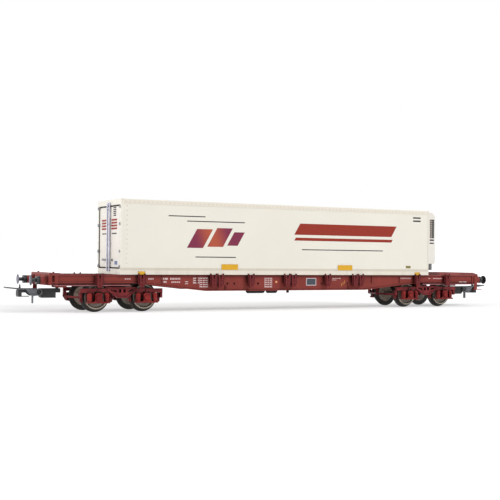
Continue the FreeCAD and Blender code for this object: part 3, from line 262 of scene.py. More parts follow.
sleeves = sprayed("headstock_spray", *OXIDE, (on_sleeves, *NEAR_BLACK))
coat(sleeves, "headstock_front", "headstock_rear")
tanks = sprayed("brake_tank_spray", shade(118, 44, 42), shade(30, 6, 8), shade(110, 60, 56),
                (under_tanks, *NEAR_BLACK))
coat(tanks, "brake_reservoirs")


# ---------------------------------------------------------------- container brackets
# Each lock bracket is two notched sheets and their cheeks, moulded as one and sprayed with
# the frame. A painted shade lies on the back sheet behind the front sheet, so it stands out.
bracket_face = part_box("container_brackets_right")[0][1] / MM


def shade_behind_front(place):
    outward = abs(place.axis(1) / MM)
    flat = abs(facing(place, 1)).ramp(0.7, 0.9)
    return outward.ramp(-bracket_face - 0.33, -bracket_face - 0.37) * flat * 0.8


# painted shade on the back sheet, where the front sheet shades it
brackets_shaded = sprayed("bracket_spray", shade(114, 38, 40), shade(34, 4, 8), shade(136, 70, 68),
                 (shade_behind_front, shade(50, 10, 14), shade(74, 22, 24)))
coat(brackets_shaded, "container_brackets_right", "container_brackets_left")


# ---------------------------------------------------------------- end decks
# The two end decks are thin moulded sheets in the same red. Their top carries a tread
# pattern of small lozenges in rows, turned one way and the other.
material, shader, place = surface("deck_tread", specular=0.35)
along, across = place.axis(0) / MM, place.axis(1) / MM
cloud = place.noise(120, 3)
flat = facing(place, 2).ramp(0.8, 0.97)
odd = ((along / 1.1) % 2.0).ramp(0.98, 1.02)
slant = (along % 1.1) - 0.55
cell = ((across + odd * 0.45) % 0.9) - 0.45
lozenge = (abs(slant + cell * 0.8) * 1.6 + abs(cell) * 0.9).ramp(0.42, 0.22) * flat
colour = cloud.ramp(0.3, 0.72).mix(shade(122, 60, 56), shade(148, 74, 68))
colour = (lozenge * 0.5).mix(colour, shade(168, 98, 92))
# painted shade: darker in the deck's corners
colour = (corners(place, 1.1).ramp(0.85, 0.35) * 0.6).mix(colour, shade(58, 18, 20))
finish(shader, colour, 0.5 + (cloud - 0.5) * 0.2, lozenge + place.noise(5200, 2) * 0.12, 0.12)
coat(material, "end_deck_front", "end_deck_rear")


# ---------------------------------------------------------------- bracket bolts
# Each lock bracket is held to the sill by two bolts, one over the other. They are small
# round heads with a softened edge, moulded on and sprayed with the frame.
def begin(add, name, place, **shape):
    """Adds one primitive at its place in millimetres, alone in the selection."""
    bpy.ops.object.select_all(action="DESELECT")
    add(location=[value * MM for value in place], **shape)
    piece = bpy.context.active_object
    piece.name = name
    piece.data.name = name
    bpy.ops.object.transform_apply(location=True, rotation=True, scale=True)
    return piece


def rod(name, radius, length, place, turned=(0.0, 0.0, 0.0), sides=16):
    return begin(bpy.ops.mesh.primitive_cylinder_add, name, place, vertices=sides,
                 radius=radius * MM, depth=length * MM, rotation=turned)


def slab(name, one, other):
    """A block between two opposite corners."""
    size = [abs(b - a) for a, b in zip(one, other)]
    return begin(bpy.ops.mesh.primitive_cube_add, name, [(a + b) / 2 for a, b in zip(one, other)],
                 size=MM, scale=size)


TO_FRONT, TO_LEFT, UP = Vector((1, 0, 0)), Vector((0, 1, 0)), Vector((0, 0, 1))
TO_REAR, TO_RIGHT, DOWN = -TO_FRONT, -TO_LEFT, -UP


def pick(piece, *ways):
    """Opens a piece for editing with only the faces chosen that look one of these ways."""
    bpy.ops.object.mode_set(mode="EDIT")
    bpy.ops.mesh.select_mode(type="FACE")
    bpy.ops.mesh.select_all(action="DESELECT")
    bpy.ops.object.mode_set(mode="OBJECT")
    for face in piece.data.polygons:
        face.select = any(face.normal.dot(way) > 0.9 for way in ways)
    bpy.ops.object.mode_set(mode="EDIT")


def inset(width, depth=0.0):
    bpy.ops.mesh.inset(thickness=width * MM, depth=depth * MM)


def pull(x=0.0, y=0.0, z=0.0):
    """Extrudes what is chosen by a distance in millimetres."""
    bpy.ops.mesh.extrude_region_move(TRANSFORM_OT_translate={"value": (x * MM, y * MM, z * MM)})


def close():
    bpy.ops.object.mode_set(mode="OBJECT")


def apply(piece, kind, **settings):
    """Adds one modifier and applies it."""
    bpy.context.view_layer.objects.active = piece
    modifier = piece.modifiers.new(kind.lower(), kind)
    for name, value in settings.items():
        setattr(modifier, name, value)
    bpy.ops.object.modifier_apply(modifier=modifier.name)


def soften(piece, width, steps=1):
    apply(piece, "BEVEL", width=width * MM, segments=steps, limit_method="ANGLE", angle_limit=0.6)


def twin(piece, move):
    """A copy with its own mesh, moved by a matrix or by a distance in millimetres."""
    other = piece.copy()
    other.data = piece.data.copy()
    bpy.context.scene.collection.objects.link(other)
    other.data.transform(move if isinstance(move, Matrix) else Matrix.Translation(Vector(move) * MM))
    return other


def unite(group, name):
    bpy.ops.object.select_all(action="DESELECT")
    for piece in group:
        piece.select_set(True)
    bpy.context.view_layer.objects.active = group[0]
    if len(group) > 1:
        bpy.ops.object.join()
    group[0].name = name
    group[0].data.name = name
    return group[0]


def spread(piece, moves):
    """Copies a piece to further places and makes them all one piece."""
    return unite([piece] + [twin(piece, move) for move in moves], piece.name)


def scatter(piece, places):
    """Moves a piece to the first of several places in millimetres, and copies it to the rest."""
    first = Vector(places[0])
    piece.data.transform(Matrix.Translation(first * MM))
    return spread(piece, [Vector(place) - first for place in places[1:]])


def hang(piece, body, material, smooth=0.0):
    """Gives a finished piece its surface and the body it moves with."""
    piece.data.materials.clear()
    piece.data.materials.append(material)
    if smooth:
        bpy.ops.object.select_all(action="DESELECT")
        piece.select_set(True)
        bpy.context.view_layer.objects.active = piece
        bpy.ops.object.shade_smooth_by_angle(angle=smooth)
    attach(piece, body)
    return piece


HALF_TURN = Matrix.Rotation(math.pi, 4, "Z")
FACING_SIDE = (math.pi / 2, 0.0, 0.0)


def hang_both(piece, body, material, smooth=0.0):
    """Hangs a piece of the right-hand side and its twin, turned half round to the left."""
    far = twin(piece, HALF_TURN)
    far.name = piece.name.replace("_right", "_left")
    for one in (piece, far):
        hang(one, body, material, smooth)


LOWER_BOLT, BOLT_PITCH = 11.15, 1.55
bolt = rod("bracket_bolts_right", 0.3, 0.12, (0.0, bracket_face, LOWER_BOLT), FACING_SIDE, 12)
pick(bolt, TO_RIGHT)
inset(0.07)
close()
soften(bolt, 0.03)
sheets = (-88.1, -70.1, -37.6, -34.4, -19.6, -1.6, 1.6, 19.6, 34.4, 37.6, 70.1, 88.1)
scatter(bolt, [(x, 0.06, z) for x in sheets for z in (0.0, BOLT_PITCH)])
hang_both(bolt, "wagon", oxide_red)


# ---------------------------------------------------------------- rope hooks
# Two bent hooks on each sill, between the middle and the ends, take the shunting ropes. Each
# is a thin round rod, glued to the web, turned out and up at its foot.
for number, x in enumerate((-31.3, 31.6)):
    hook = begin(bpy.ops.mesh.primitive_circle_add, "rope_hook_right_%d" % number, (x, -13.35, 10.9),
                 vertices=8, radius=0.24 * MM, fill_type="NGON")
    pick(hook, UP, DOWN)
    pull(z=-0.9)
    bend = (x * MM, -13.85 * MM, 10.0 * MM)
    bpy.ops.mesh.spin(steps=7, angle=math.pi * 0.8, center=bend, axis=(1, 0, 0))
    bpy.ops.mesh.select_all(action="SELECT")
    bpy.ops.mesh.remove_doubles(threshold=0.001 * MM)
    bpy.ops.mesh.normals_make_consistent(inside=False)
    close()
    soften(hook, 0.05)
    hang_both(hook, "wagon", oxide_red, 0.7)


# ---------------------------------------------------------------- sill markings
# White, grey and yellow markings are pad-printed on the web of each sill. They are blank
# here: plain bars, empty tables of data cells, a framed slate panel, an orange mark and three
# yellow strokes.
def printed(name, ink, roughness=0.42):
    """A thin coat of ink: slightly uneven cover, a trace of the screen's weave."""
    material, shader, place = surface(name, specular=0.4)
    cover = place.noise(1500, 3)
    warp, weft = (abs((place.axis(index) / (0.09 * MM)) % 2.0 - 1.0) for index in (0, 2))
    colour = cover.ramp(0.25, 0.6).mix(dimmed(ink, 0.86), ink)
    finish(shader, colour, roughness + (cover - 0.5) * 0.2, warp + weft + cover, 0.004)
    return material


def print_bars(name, bars, face, thick=0.03):
    """Bars of ink on the right-hand side, each given as left, right, foot and top."""
    left, right, low, high = bars[0]
    piece = slab(name, (left, face - thick, low), (right, face, high))
    bpy.ops.object.mode_set(mode="EDIT")
    for left, right, low, high in bars[1:]:
        where = ((left + right) / 2, face - thick / 2, (low + high) / 2)
        bpy.ops.mesh.primitive_cube_add(size=MM, location=[v * MM for v in where],
                                        scale=(right - left, thick, high - low))
    close()
    pick(piece, TO_LEFT)
    bpy.ops.mesh.delete(type="FACE")
    close()
    soften(piece, thick * 0.4)
    return piece


def rim(left, right, low, high, width):
    """The four bars of a frame."""
    return [(left, right, low, low + width), (left, right, high - width, high),
            (left, left + width, low + width, high - width),
            (right - width, right, low + width, high - width)]


def table(left, low, columns, rows, wide):
    """An empty table: its frame, and cells 0.4 high in rows 0.83 apart."""
    column, row = wide + 0.15, 0.83
    cells = [(left + 0.22 + column * k, left + 0.1 + wide + column * k,
              low + 0.22 + row * j, low + 0.62 + row * j)
             for k in range(columns) for j in range(rows)]
    return rim(left, left + columns * column + 0.1, low, low + rows * row + 0.1, 0.12) + cells


sill_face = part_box("side_sill_right")[0][1] / MM
web_face = sill_face + 0.35
# rows of dashes: left, right, foot and top of the row, and its number of dashes
dash_rows = (
    (-76.9, -74.2, 13.35, 13.75, 3),
    (-66.7, -64.2, 13.25, 13.9, 4),
    (-60.8, -57.8, 13.25, 14.0, 2),
    (-57.0, -52.2, 13.25, 14.0, 7),
    (-60.7, -58.4, 11.95, 12.7, 3),
    (-56.4, -52.3, 11.95, 12.5, 5),
    (-50.2, -48.6, 12.2, 12.55, 1),
    (-50.2, -48.6, 11.4, 11.7, 1),
    (22.9, 27.6, 13.55, 13.95, 8),
    (22.9, 25.2, 12.9, 13.2, 4),
    (77.8, 79.0, 13.55, 13.85, 1),
    (80.6, 86.2, 13.5, 13.9, 7),
)
dashes = []
for left, right, low, high, count in dash_rows:
    step = (right - left) / count
    dashes += [(left + step * k, left + step * (k + 1) - 0.22, low, high) for k in range(count)]
# tables: left, foot, columns, rows, width of a cell
tables = []
for cells in ((-46.5, 11.6, 2, 3, 1.25), (-43.5, 9.95, 3, 5, 1.1), (-12.3, 9.8, 3, 5, 1.1)):
    tables += table(*cells)
# two sides of a frame at the front, and a row of cells in it
tables += [(60.6, 60.72, 13.0, 14.1), (60.6, 67.6, 13.98, 14.1)]
tables += [(61.1 + 0.62 * k, 61.5 + 0.62 * k, 13.5, 13.8) for k in range(10)]
strokes = [(27.75, 28.0, 10.2, 11.6), (28.6, 28.85, 10.8, 12.2), (29.45, 29.7, 11.4, 12.8)]
white = printed("ink_white", shade(226, 200, 198))
for name, bars, ink, face in (
    ("sill_dashes", dashes, white, web_face),
    ("sill_tables", tables, printed("ink_pale_grey", shade(222, 196, 194)), web_face),
    ("sill_orange_mark", [(-6.75, -5.85, 11.8, 12.6)], printed("ink_orange", shade(240, 172, 118)), web_face),
    ("sill_yellow_marks", strokes, printed("ink_yellow", shade(214, 150, 60)), web_face),
    ("sill_panel_frame", rim(9.0, 14.3, 10.55, 13.95, 0.35), printed("ink_frame_white", shade(205, 192, 196)),
     web_face),
    ("sill_panel", [(9.35, 13.95, 10.9, 13.6)], printed("ink_slate", shade(66, 72, 82)), web_face),
    ("flange_mark", [(96.2, 98.4, 11.9, 12.2), (98.7, 101.0, 11.9, 12.2)], white, sill_face),
):
    hang_both(print_bars(name + "_right", bars, face), "wagon", ink)


# ---------------------------------------------------------------- buffers
# Buffer collar, plunger and head are turned in black plastic. The face carries fine turning
# rings, and its inner half carries a painted lilac highlight.
BUFFER_OUT = 10.05
face_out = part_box("buffers_front")[1][0] / MM


def middle_of(name, index):
    """The middle of a node's box along one axis, in millimetres."""
    low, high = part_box(name)
    return (low[index] + high[index]) / 2 / MM


material, shader, place = surface("buffer_black", coat=0.15)
across = abs(place.axis(1) / MM) - BUFFER_OUT
up = place.axis(2) / MM - middle_of("buffers_front", 2)
radius = (across * across + up * up) ** 0.5
grain = place.noise(1800, 3)
rings = abs((radius / 0.11) % 2.0 - 1.0)
face = abs(place.axis(0) / MM).ramp(face_out - 0.38, face_out - 0.3)
colour = grain.ramp(0.3, 0.75).mix(shade(20, 19, 22), shade(38, 36, 42))
# painted highlight: the inner half of the face turns a paler lilac
colour = (face * across.ramp(0.1, -0.5)).mix(colour, shade(108, 100, 128))
finish(shader, colour, 0.38 + (grain - 0.5) * 0.3, rings * face + grain, 0.012)
coat(material, "buffers_front", "buffers_rear")


# ---------------------------------------------------------------- couplers
# Shank and hook head are moulded in charcoal plastic with a matt grain. The lifting loop is
# stamped from sheet metal, and a bright ring is turned up round each end of its pivot pin.
material, shader, place = surface("coupler_charcoal", specular=0.4)
grain = place.noise(2600, 3)
cloud = place.noise(260, 2)
colour = (cloud.ramp(0.3, 0.7) * 0.6 + grain.ramp(0.3, 0.7) * 0.4).mix(shade(38, 38, 41), shade(62, 62, 65))
# painted shade: darker in the corners
colour = (corners(place, 1.0).ramp(0.85, 0.35) * 0.6).mix(colour, shade(20, 20, 22))
finish(shader, colour, 0.5 + (grain - 0.5) * 0.25, grain, 0.02)
coat(material, *["coupler_" + part + end for part in ("shank_", "hook_") for end in ENDS])

material, shader, place = surface("loop_sheet_metal", metallic=0.55)
rolled = place.noise(1300, 3, (0.2, 1.0, 1.0))
tarnish = place.noise(700, 2)
colour = rolled.ramp(0.3, 0.7).mix(shade(84, 86, 90), shade(118, 121, 125))
colour = tarnish.ramp(0.6, 0.75).mix(colour, shade(80, 78, 78))
finish(shader, colour, 0.4 + (rolled - 0.5) * 0.3, rolled, 0.01)
loop_metal = material
coat(loop_metal, "coupler_loop_front", "coupler_loop_rear")


def grained(name, noise, darker, lighter, rough, swing, depth, full=0.7, **kind):
    """A one-colour finish with a fine grain that also varies its roughness and its relief."""
    material, shader, place = surface(name, **kind)
    grain = place.noise(*noise)
    colour = grain.ramp(0.3, full).mix(darker, lighter)
    finish(shader, colour, rough + (grain - 0.5) * swing, grain, depth)
    return material


def pivot(name):
    """Where a joint lies, in millimetres."""
    return next(Vector(joint["pos_m"]) / MM for joint in frame["joints"] if joint["name"] == name)


def half_turn_about(along):
    return Matrix.Translation((2 * along * MM, 0, 0)) @ HALF_TURN


# the pin end in each ring is near black: a painted shade for the hole of the ring
pin_end_shade = grained("pin_blackened", (2200, 3), shade(8, 8, 9), shade(22, 22, 24),
                    0.65, 0.2, 0.01, metallic=0.4)
for end in ENDS:
    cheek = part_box("coupler_loop_" + end)[1][1] / MM
    pin = pivot("coupler_%s_lift" % end)
    where = (pin.x, -cheek - 0.06, pin.z)
    ring = rod("loop_pin_ring_" + end, 1.32, 0.12, where, FACING_SIDE, 28)
    pick(ring, TO_RIGHT)
    inset(0.34)
    pull(y=0.2)
    close()
    soften(ring, 0.04)
    plug = rod("loop_pin_" + end, 0.86, 0.1, (where[0], where[1] + 0.02, where[2]), FACING_SIDE, 24)
    pick(plug, TO_RIGHT)
    inset(0.16, -0.04)
    close()
    for piece, metal in ((ring, loop_metal), (plug, pin_end_shade)):
        spread(piece, [half_turn_about(pin.x)])
        hang(piece, "loop_" + end, metal, 0.6)


# ---------------------------------------------------------------- bogies
# Side frames, axleboxes, spring pots and brake gear are fine mouldings in a slightly pinker
# red than the frame, and catch more dirt low down near the wheels. A painted shade darkens
# their corners and the gaps between parts. Four hexagon bolt heads are moulded on each
# axlebox cover.
def bogie_spray(name, coat_shade, bright):
    material, shader, place = surface(name, specular=0.2)
    up = place.axis(2) / MM
    cloud = place.noise(260, 3)
    fleck = place.noise(2800, 2)
    colour = (cloud.ramp(0.3, 0.7) * 0.7 + fleck.ramp(0.3, 0.7) * 0.3).mix(coat_shade, bright)
    # painted shade: darker in corners and in the gaps between parts
    colour = (corners(place, 1.6).ramp(0.94, 0.5) * 0.96).mix(colour, shade(26, 4, 6))
    colour = (up.ramp(5.2, 3.6) * cloud.ramp(0.3, 0.6) * 0.45).mix(colour, shade(66, 36, 30))
    finish(shader, colour, 0.46 + (fleck - 0.5) * 0.24, fleck, 0.02)
    return material


truss_red = bogie_spray("bogie_red", shade(98, 24, 30), shade(138, 48, 50))
box_red = bogie_spray("axlebox_red", shade(108, 20, 22), shade(152, 46, 42))
coat(truss_red, *[part + end for part in ("bogie_frame_", "brake_beams_") for end in ENDS])
coat(box_red, *[part + end for part in ("axleboxes_", "springs_") for end in ENDS])
cover_height, head_out = 5.85, 0.574
for end in ENDS:
    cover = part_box("axleboxes_" + end)[0][1] / MM
    bolt = rod("axlebox_bolts_" + end, 0.17, 0.16, (0.0, cover - 0.04, 0.0), FACING_SIDE, 6)
    pick(bolt, TO_RIGHT)
    inset(0.05, 0.02)
    close()
    axles = [middle_of("axle_%s_%s" % (end, place_in), 0) for place_in in ("inner", "outer")]
    scatter(bolt, [(axle + dx * head_out, 0.0, cover_height + dz * head_out) for axle in axles
                   for dx, dz in ((-1, -1), (1, -1), (1, 1), (-1, 1))])
    spread(bolt, [half_turn_about(pivot("bogie_%s_swivel" % end).x)])
    hang(bolt, "bogie_" + end, box_red)


# ---------------------------------------------------------------- wheels and axles
# Wheels are turned metal discs: the tread and flange have a black finish, a ring on the outer
# face is left bright, its pale colour partly a painted reflection, and the middle is dull brown.
# The inner faces are pale metal, painted lighter still as painted light. Behind the frames the
# wheels carry a painted shade. The axle is plain steel rod.
bogie_middle = pivot("bogie_front_swivel").x
half_wheelbase = middle_of("axle_front_outer", 0) - bogie_middle
material, shader, place = surface("wheel_turned", specular=0.5)
along = abs(abs(place.axis(0) / MM) - bogie_middle) - half_wheelbase
outward = abs(place.axis(1) / MM)
up = place.axis(2) / MM - middle_of("axle_front_outer", 2)
radius = (along * along + up * up) ** 0.5
grime = place.noise(500, 4)
grain = place.noise(2600, 2)
face = outward.ramp(9.2, 9.5)
ring = radius.between(4.05, 4.95, 0.08) * face
disc = radius.ramp(4.1, 3.95)
tread_edge = radius.between(5.15, 5.35, 0.05)
turned_mark = abs((radius / 0.07) % 2.0 - 1.0)
colour = grime.ramp(0.3, 0.7).mix(shade(24, 23, 22), shade(46, 42, 38))
outer_brown = grime.ramp(0.3, 0.75).mix(shade(86, 70, 52), shade(128, 106, 80))
# painted light: the inner faces are painted paler than the metal, for the light they get under the wagon
inner_pale_painted_light = grime.ramp(0.3, 0.75).mix(shade(178, 164, 148), shade(222, 212, 198))
# the ring is bright metal; its pale colour is partly a painted reflection
bright = grime.ramp(0.2, 0.6).mix(shade(190, 172, 148), shade(240, 228, 208))
colour = (disc * face).mix(colour, outer_brown)
colour = (disc * (1 - face)).mix(colour, inner_pale_painted_light)
colour = ring.mix(colour, bright)
# painted shade where the frames and other parts crowd the wheel
shade_behind_frames = corners(place, 6.0).ramp(0.62, 0.38) * 0.85
colour = shade_behind_frames.mix(colour, shade(34, 26, 24))
bare_metal = ring * 0.35 + tread_edge * 0.4
bare_metal.tree.links.new(bare_metal.socket, shader.inputs["Metallic"])
relief = turned_mark * ring * 0.4 + grain * 0.6
finish(shader, colour, 0.5 - ring * 0.16 + (grain - 0.5) * 0.25, relief, 0.012)
wheelsets = [bogie + "_" + place_in for bogie in ENDS for place_in in ("outer", "inner")]
coat(material, *["wheels_" + name for name in wheelsets])

axle_steel = grained("axle_steel", (900, 3, (1.0, 0.15, 1.0)), shade(96, 90, 84), shade(150, 144, 138),
                     0.42, 0.3, 0.01, metallic=0.8)
coat(axle_steel, *["axle_" + name for name in wheelsets])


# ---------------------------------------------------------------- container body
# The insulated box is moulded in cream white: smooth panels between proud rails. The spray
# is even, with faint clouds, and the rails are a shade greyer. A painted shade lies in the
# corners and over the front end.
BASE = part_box("container_floor")[0][2] / MM
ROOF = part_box("container_roof")[1][2] / MM
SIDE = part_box("container_side_left")[1][1] / MM
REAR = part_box("container_rear_frame")[0][0] / MM
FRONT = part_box("container_front_wall")[1][0] / MM


def cream(name, panel_shade, rail_shade):
    material, shader, place = surface(name, specular=0.45)
    across = abs(place.axis(1) / MM)
    up = place.axis(2) / MM
    cloud = place.noise(38, 3)
    fine = place.noise(900, 3)
    drip = place.noise(320, 2, (1.0, 1.0, 0.05))
    rail = 1 - up.between(BASE + 2.7, ROOF - 1.9, 0.04)
    ledge = up.between(BASE + 1.7, BASE + 2.75, 0.12) * across.ramp(SIDE - 0.5, SIDE - 0.1)
    colour = (cloud.ramp(0.3, 0.7) * 0.7 + fine * 0.3).mix(dimmed(panel_shade, 0.95), panel_shade)
    colour = (rail * across.ramp(SIDE - 0.07, SIDE - 0.02)).mix(colour, rail_shade)
    colour = (ledge * 0.6).mix(colour, shade(204, 196, 180))
    # painted shade over the front end and its corner
    colour = ((place.axis(0) / MM).ramp(FRONT - 1.1, FRONT - 0.2) * 0.5).mix(colour, shade(206, 199, 184))
    colour = (up.ramp(BASE + 4.5, BASE) * drip.ramp(0.45, 0.75) * 0.22).mix(colour, shade(178, 168, 150))
    # painted shade in tight corners
    colour = (corners(place, 0.8).ramp(0.8, 0.3) * 0.35).mix(colour, shade(160, 150, 138))
    finish(shader, colour, 0.44 + (fine - 0.5) * 0.14, place.noise(4200, 2) + place.noise(70, 2) * 3.0, 0.014)
    return material


box_cream = cream("container_cream", shade(239, 235, 223), shade(232, 225, 211))
door_cream = cream("door_cream", shade(238, 233, 224), shade(236, 231, 222))
coat(box_cream, "container_side_right", "container_side_left", "container_floor", "container_roof",
     "container_front_wall", "container_rear_frame")
coat(door_cream, "container_door_right", "container_door_left")


# ---------------------------------------------------------------- container rivets
# Rows of round-headed rivets fasten the side panels: one along each top rail, one along each
# bottom rail, and one up each rear post. Their heads are a darker tan.
rivet_tan = grained("rivet_tan", (1600, 3), shade(206, 192, 168), shade(226, 216, 200),
                    0.5, 0.2, 0.01, specular=0.4)
rivet_pitch = 1.95
rail_count = int((FRONT - REAR - 4.0) / rivet_pitch)
forwards, upwards = (rivet_pitch * MM, 0.0, 0.0), (0.0, 0.0, rivet_pitch * MM)
rows = []
for start, step, count in (
    ((REAR + 2.0, -SIDE - 0.03, ROOF - 1.1), forwards, rail_count),
    ((REAR + 2.0, -SIDE - 0.03, BASE + 2.2), forwards, rail_count),
    ((REAR + 2.6, -SIDE + 0.09, BASE + 4.6), upwards, 13),
):
    rivet = rod("rivets", 0.25, 0.12, start, FACING_SIDE, 8)
    pick(rivet, TO_RIGHT)
    bpy.ops.mesh.bevel(offset=0.09 * MM, segments=2, affect="EDGES")
    close()
    apply(rivet, "ARRAY", count=count, use_relative_offset=False, use_constant_offset=True,
          constant_offset_displace=step)
    rows.append(rivet)
rivets = unite(rows, "container_rivets_right")
far = twin(rivets, Matrix.Scale(-1, 4, (0, 1, 0)))
far.data.flip_normals()
far.name = "container_rivets_left"
hang(far, "container", rivet_tan)
hang(rivets, "container", rivet_tan)


# ---------------------------------------------------------------- doors
# The two rear doors close against black rubber seals. Each hangs on four hinges at its outer
# edge, and is shut by a full-height bar that turns in clamps, with hooks at its ends.
rubber = grained("door_rubber", (2400, 2), shade(24, 23, 23), shade(52, 49, 47), 0.7, 0.2, 0.02, specular=0.3)
door_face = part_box("container_door_right")[0][0] / MM
SIDES = ((-1, "right"), (1, "left"))
for side, hand in SIDES:
    seal = slab("door_seal_" + hand, (door_face - 0.14, side * 0.16, 17.7),
                (door_face - 0.02, side * 13.07, 43.8))
    pick(seal, TO_REAR, TO_FRONT)
    inset(0.56)
    bpy.ops.mesh.bridge_edge_loops()
    close()
    soften(seal, 0.03)
    hang(seal, "container", rubber)

hinge_metal = grained("hinge_metal", (1700, 3), shade(120, 120, 126), shade(170, 170, 174),
                      0.495, 0.15, 0.02, full=0.75, metallic=0.3)
hinge_heights = (43.0, 35.9, 24.8, 18.6)
hinges = []
for side in (-1, 1):
    for up in hinge_heights:
        leaf = slab("leaf", (REAR - 0.1, side * 12.1, up - 0.42), (REAR + 0.02, side * 13.6, up + 0.42))
        pick(leaf, TO_REAR)
        inset(0.12, 0.05)
        close()
        soften(leaf, 0.04)
        knuckle = rod("knuckle", 0.3, 1.15, (REAR - 0.16, side * 13.35, up), sides=12)
        pick(knuckle, UP, DOWN)
        inset(0.08, -0.05)
        close()
        hinges += [leaf, knuckle]
hang(unite(hinges, "door_hinges"), "container", hinge_metal, 0.6)

bar_grey = grained("lock_bar_grey", (1400, 3, (1.0, 1.0, 0.15)), shade(184, 184, 204), shade(214, 214, 230),
                   0.34, 0.2, 0.012, metallic=0.25, coat=0.1)
coat(bar_grey, "door_lock_bars")
bar_middle = middle_of("door_lock_bars", 0)
BAR_OUT = 1.35
clamp_heights = (20.0, 27.5, 36.0, 42.2)
fittings = []
for side in (-BAR_OUT, BAR_OUT):
    for up in clamp_heights:
        clamp = slab("clamp", (REAR - 0.62, side - 0.5, up - 0.22), (REAR + 0.02, side + 0.5, up + 0.22))
        pick(clamp, TO_REAR)
        inset(0.2, 0.04)
        close()
        soften(clamp, 0.08, 2)
        fittings.append(clamp)
    for up, way in ((17.0, -1), (44.55, 1)):
        keeper = slab("keeper", (REAR - 0.5, side - 0.75, up - 0.32), (REAR + 0.02, side + 0.75, up + 0.32))
        pick(keeper, UP * way)
        inset(0.18)
        pull(z=way * 0.15)
        close()
        soften(keeper, 0.07, 2)
        fittings.append(keeper)
hang(unite(fittings, "lock_bar_clamps"), "container", bar_grey, 0.6)

handles = []
for away, reach in ((1, 7.6), (-1, 3.9)):
    lever = slab("lever", (bar_middle - 0.16, away * BAR_OUT, 21.0),
                 (bar_middle + 0.16, away * (BAR_OUT + 0.8), 21.55))
    pick(lever, TO_LEFT * away)
    pull(y=away * (reach - BAR_OUT - 2.4))
    bpy.ops.transform.resize(value=(1.0, 1.0, 1.35))
    pull(y=away * 1.6)
    close()
    soften(lever, 0.06, 2)
    tip = away * reach
    catch = slab("catch", (REAR - 0.3, tip - 0.35, 20.85), (REAR + 0.02, tip + 0.35, 21.7))
    soften(catch, 0.1, 2)
    handles += [lever, catch]
hang(unite(handles, "lock_handles"), "container", hinge_metal, 0.6)


# ---------------------------------------------------------------- container prints and plates
# The box carries a plain livery: broad and thin stripes, screen-printed, with no words. Two
# yellow lifting plates, a small olive plate and a blue sticker are blank too.
panel_face = -SIDE + 0.12


def lean(piece, amount, low):
    """Leans a stripe: its upper edge moves along by an amount in millimetres."""
    bpy.ops.object.mode_set(mode="EDIT")
    bpy.ops.mesh.select_mode(type="VERT")
    bpy.ops.mesh.select_all(action="DESELECT")
    bpy.ops.object.mode_set(mode="OBJECT")
    for corner in piece.data.vertices:
        corner.select = corner.co.z > low * MM
    bpy.ops.object.mode_set(mode="EDIT")
    bpy.ops.transform.translate(value=(amount * MM, 0, 0))
    close()


stripe_red = printed("ink_livery_red", shade(148, 34, 2))
stripe_black = printed("ink_livery_black", shade(34, 30, 34))
# The fade turns round with the side, so that it runs the same way when either side is read.
material, shader, place = surface("ink_livery_fade", specular=0.4)
reading = 1 - place.axis(1).ramp(-0.001, 0.001) * 2.0
along = place.axis(0) / MM * reading
cover = place.noise(1500, 3)
turning = (along + place.axis(2) / MM * 0.35).between(-29.0, -25.5, 7.5)
colour = turning.mix(shade(122, 30, 66), shade(224, 112, 24))
finish(shader, colour, 0.42 + (cover - 0.5) * 0.2, cover, 0.004)
stripe_fade = material
# name, bars (left, right, foot, top), how far the top leans forward, ink
livery = [
    ("stripe_broad", [(2.0, 54.8, 33.2, 38.2)], 3.0, stripe_red),
    ("stripe_middle", [(2.0, 54.8, 30.6, 31.9)], 0.8, stripe_red),
    ("stripe_thin", [(6.0, 50.0, 26.4, 26.8)], 0.0, stripe_black),
    ("fade_block_0", [(-50.0, -42.6, 26.6, 34.6)], 4.6, stripe_fade),
    ("fade_block_1", [(-40.6, -33.2, 27.2, 35.2)], 4.6, stripe_fade),
    ("fade_block_2", [(-31.2, -26.2, 27.8, 33.6)], 3.4, stripe_fade),
    ("fine_line_0", [(-58.4, -41.6, 39.6, 40.0)], 0.0, stripe_black),
    ("fine_line_1", [(-50.0, -22.8, 37.6, 38.0)], 0.0, stripe_black),
    ("fine_line_2", [(-46.0, -27.0, 22.6, 23.0)], 0.0, stripe_black),
    ("corner_bars", [(67.4, 71.9, 42.2, 42.9), (67.4, 71.9, 40.7, 41.4)], 0.0, stripe_black),
]
for name, bars, amount, ink in livery:
    piece = print_bars(name + "_right", bars, panel_face)
    if amount:
        lean(piece, amount, (bars[0][2] + bars[0][3]) / 2)
    hang_both(piece, "container", ink)

END_VIEW = Matrix.Translation((door_face * MM, 0, 0)) @ Matrix.Rotation(-math.pi / 2, 4, "Z")


def print_on_doors(name, bars, ink):
    """The same kind of bars, turned to lie on the doors."""
    piece = print_bars(name, bars, 0.0)
    piece.data.transform(END_VIEW)
    return hang(piece, "container", ink)


door_rows = [(low, low + 0.8) for low in (33.8, 35.0, 36.2, 37.4)]
print_on_doors("door_stripes", [(left, right, low, high) for left, right in ((-10.2, -2.3), (2.0, 8.8))
                                for low, high in door_rows], stripe_red)
print_on_doors("door_line", [(-9.4, -2.4, 31.9, 32.4), (2.4, 8.2, 31.9, 32.4)], stripe_black)
print_on_doors("door_bars", [(4.2, 7.6, 39.4 + 0.78 * k, 39.9 + 0.78 * k) for k in range(5)], stripe_black)

yellow_plate = printed("plate_yellow", shade(226, 172, 32), 0.36)
olive_plate = printed("plate_olive", shade(132, 120, 58), 0.4)
lifting_plates = [(-33.8, -26.0, 17.45, 19.8), (25.1, 32.9, 17.45, 19.8)]
for name, bars, paint, face in (("lifting_plates", lifting_plates, yellow_plate, -SIDE - 0.02),
                                ("olive_plate", [(63.4, 66.1, 18.6, 19.7)], olive_plate, panel_face)):
    piece = print_bars(name + "_right", bars, face, 0.12)
    soften(piece, 0.05, 2)
    hang_both(piece, "container", paint)

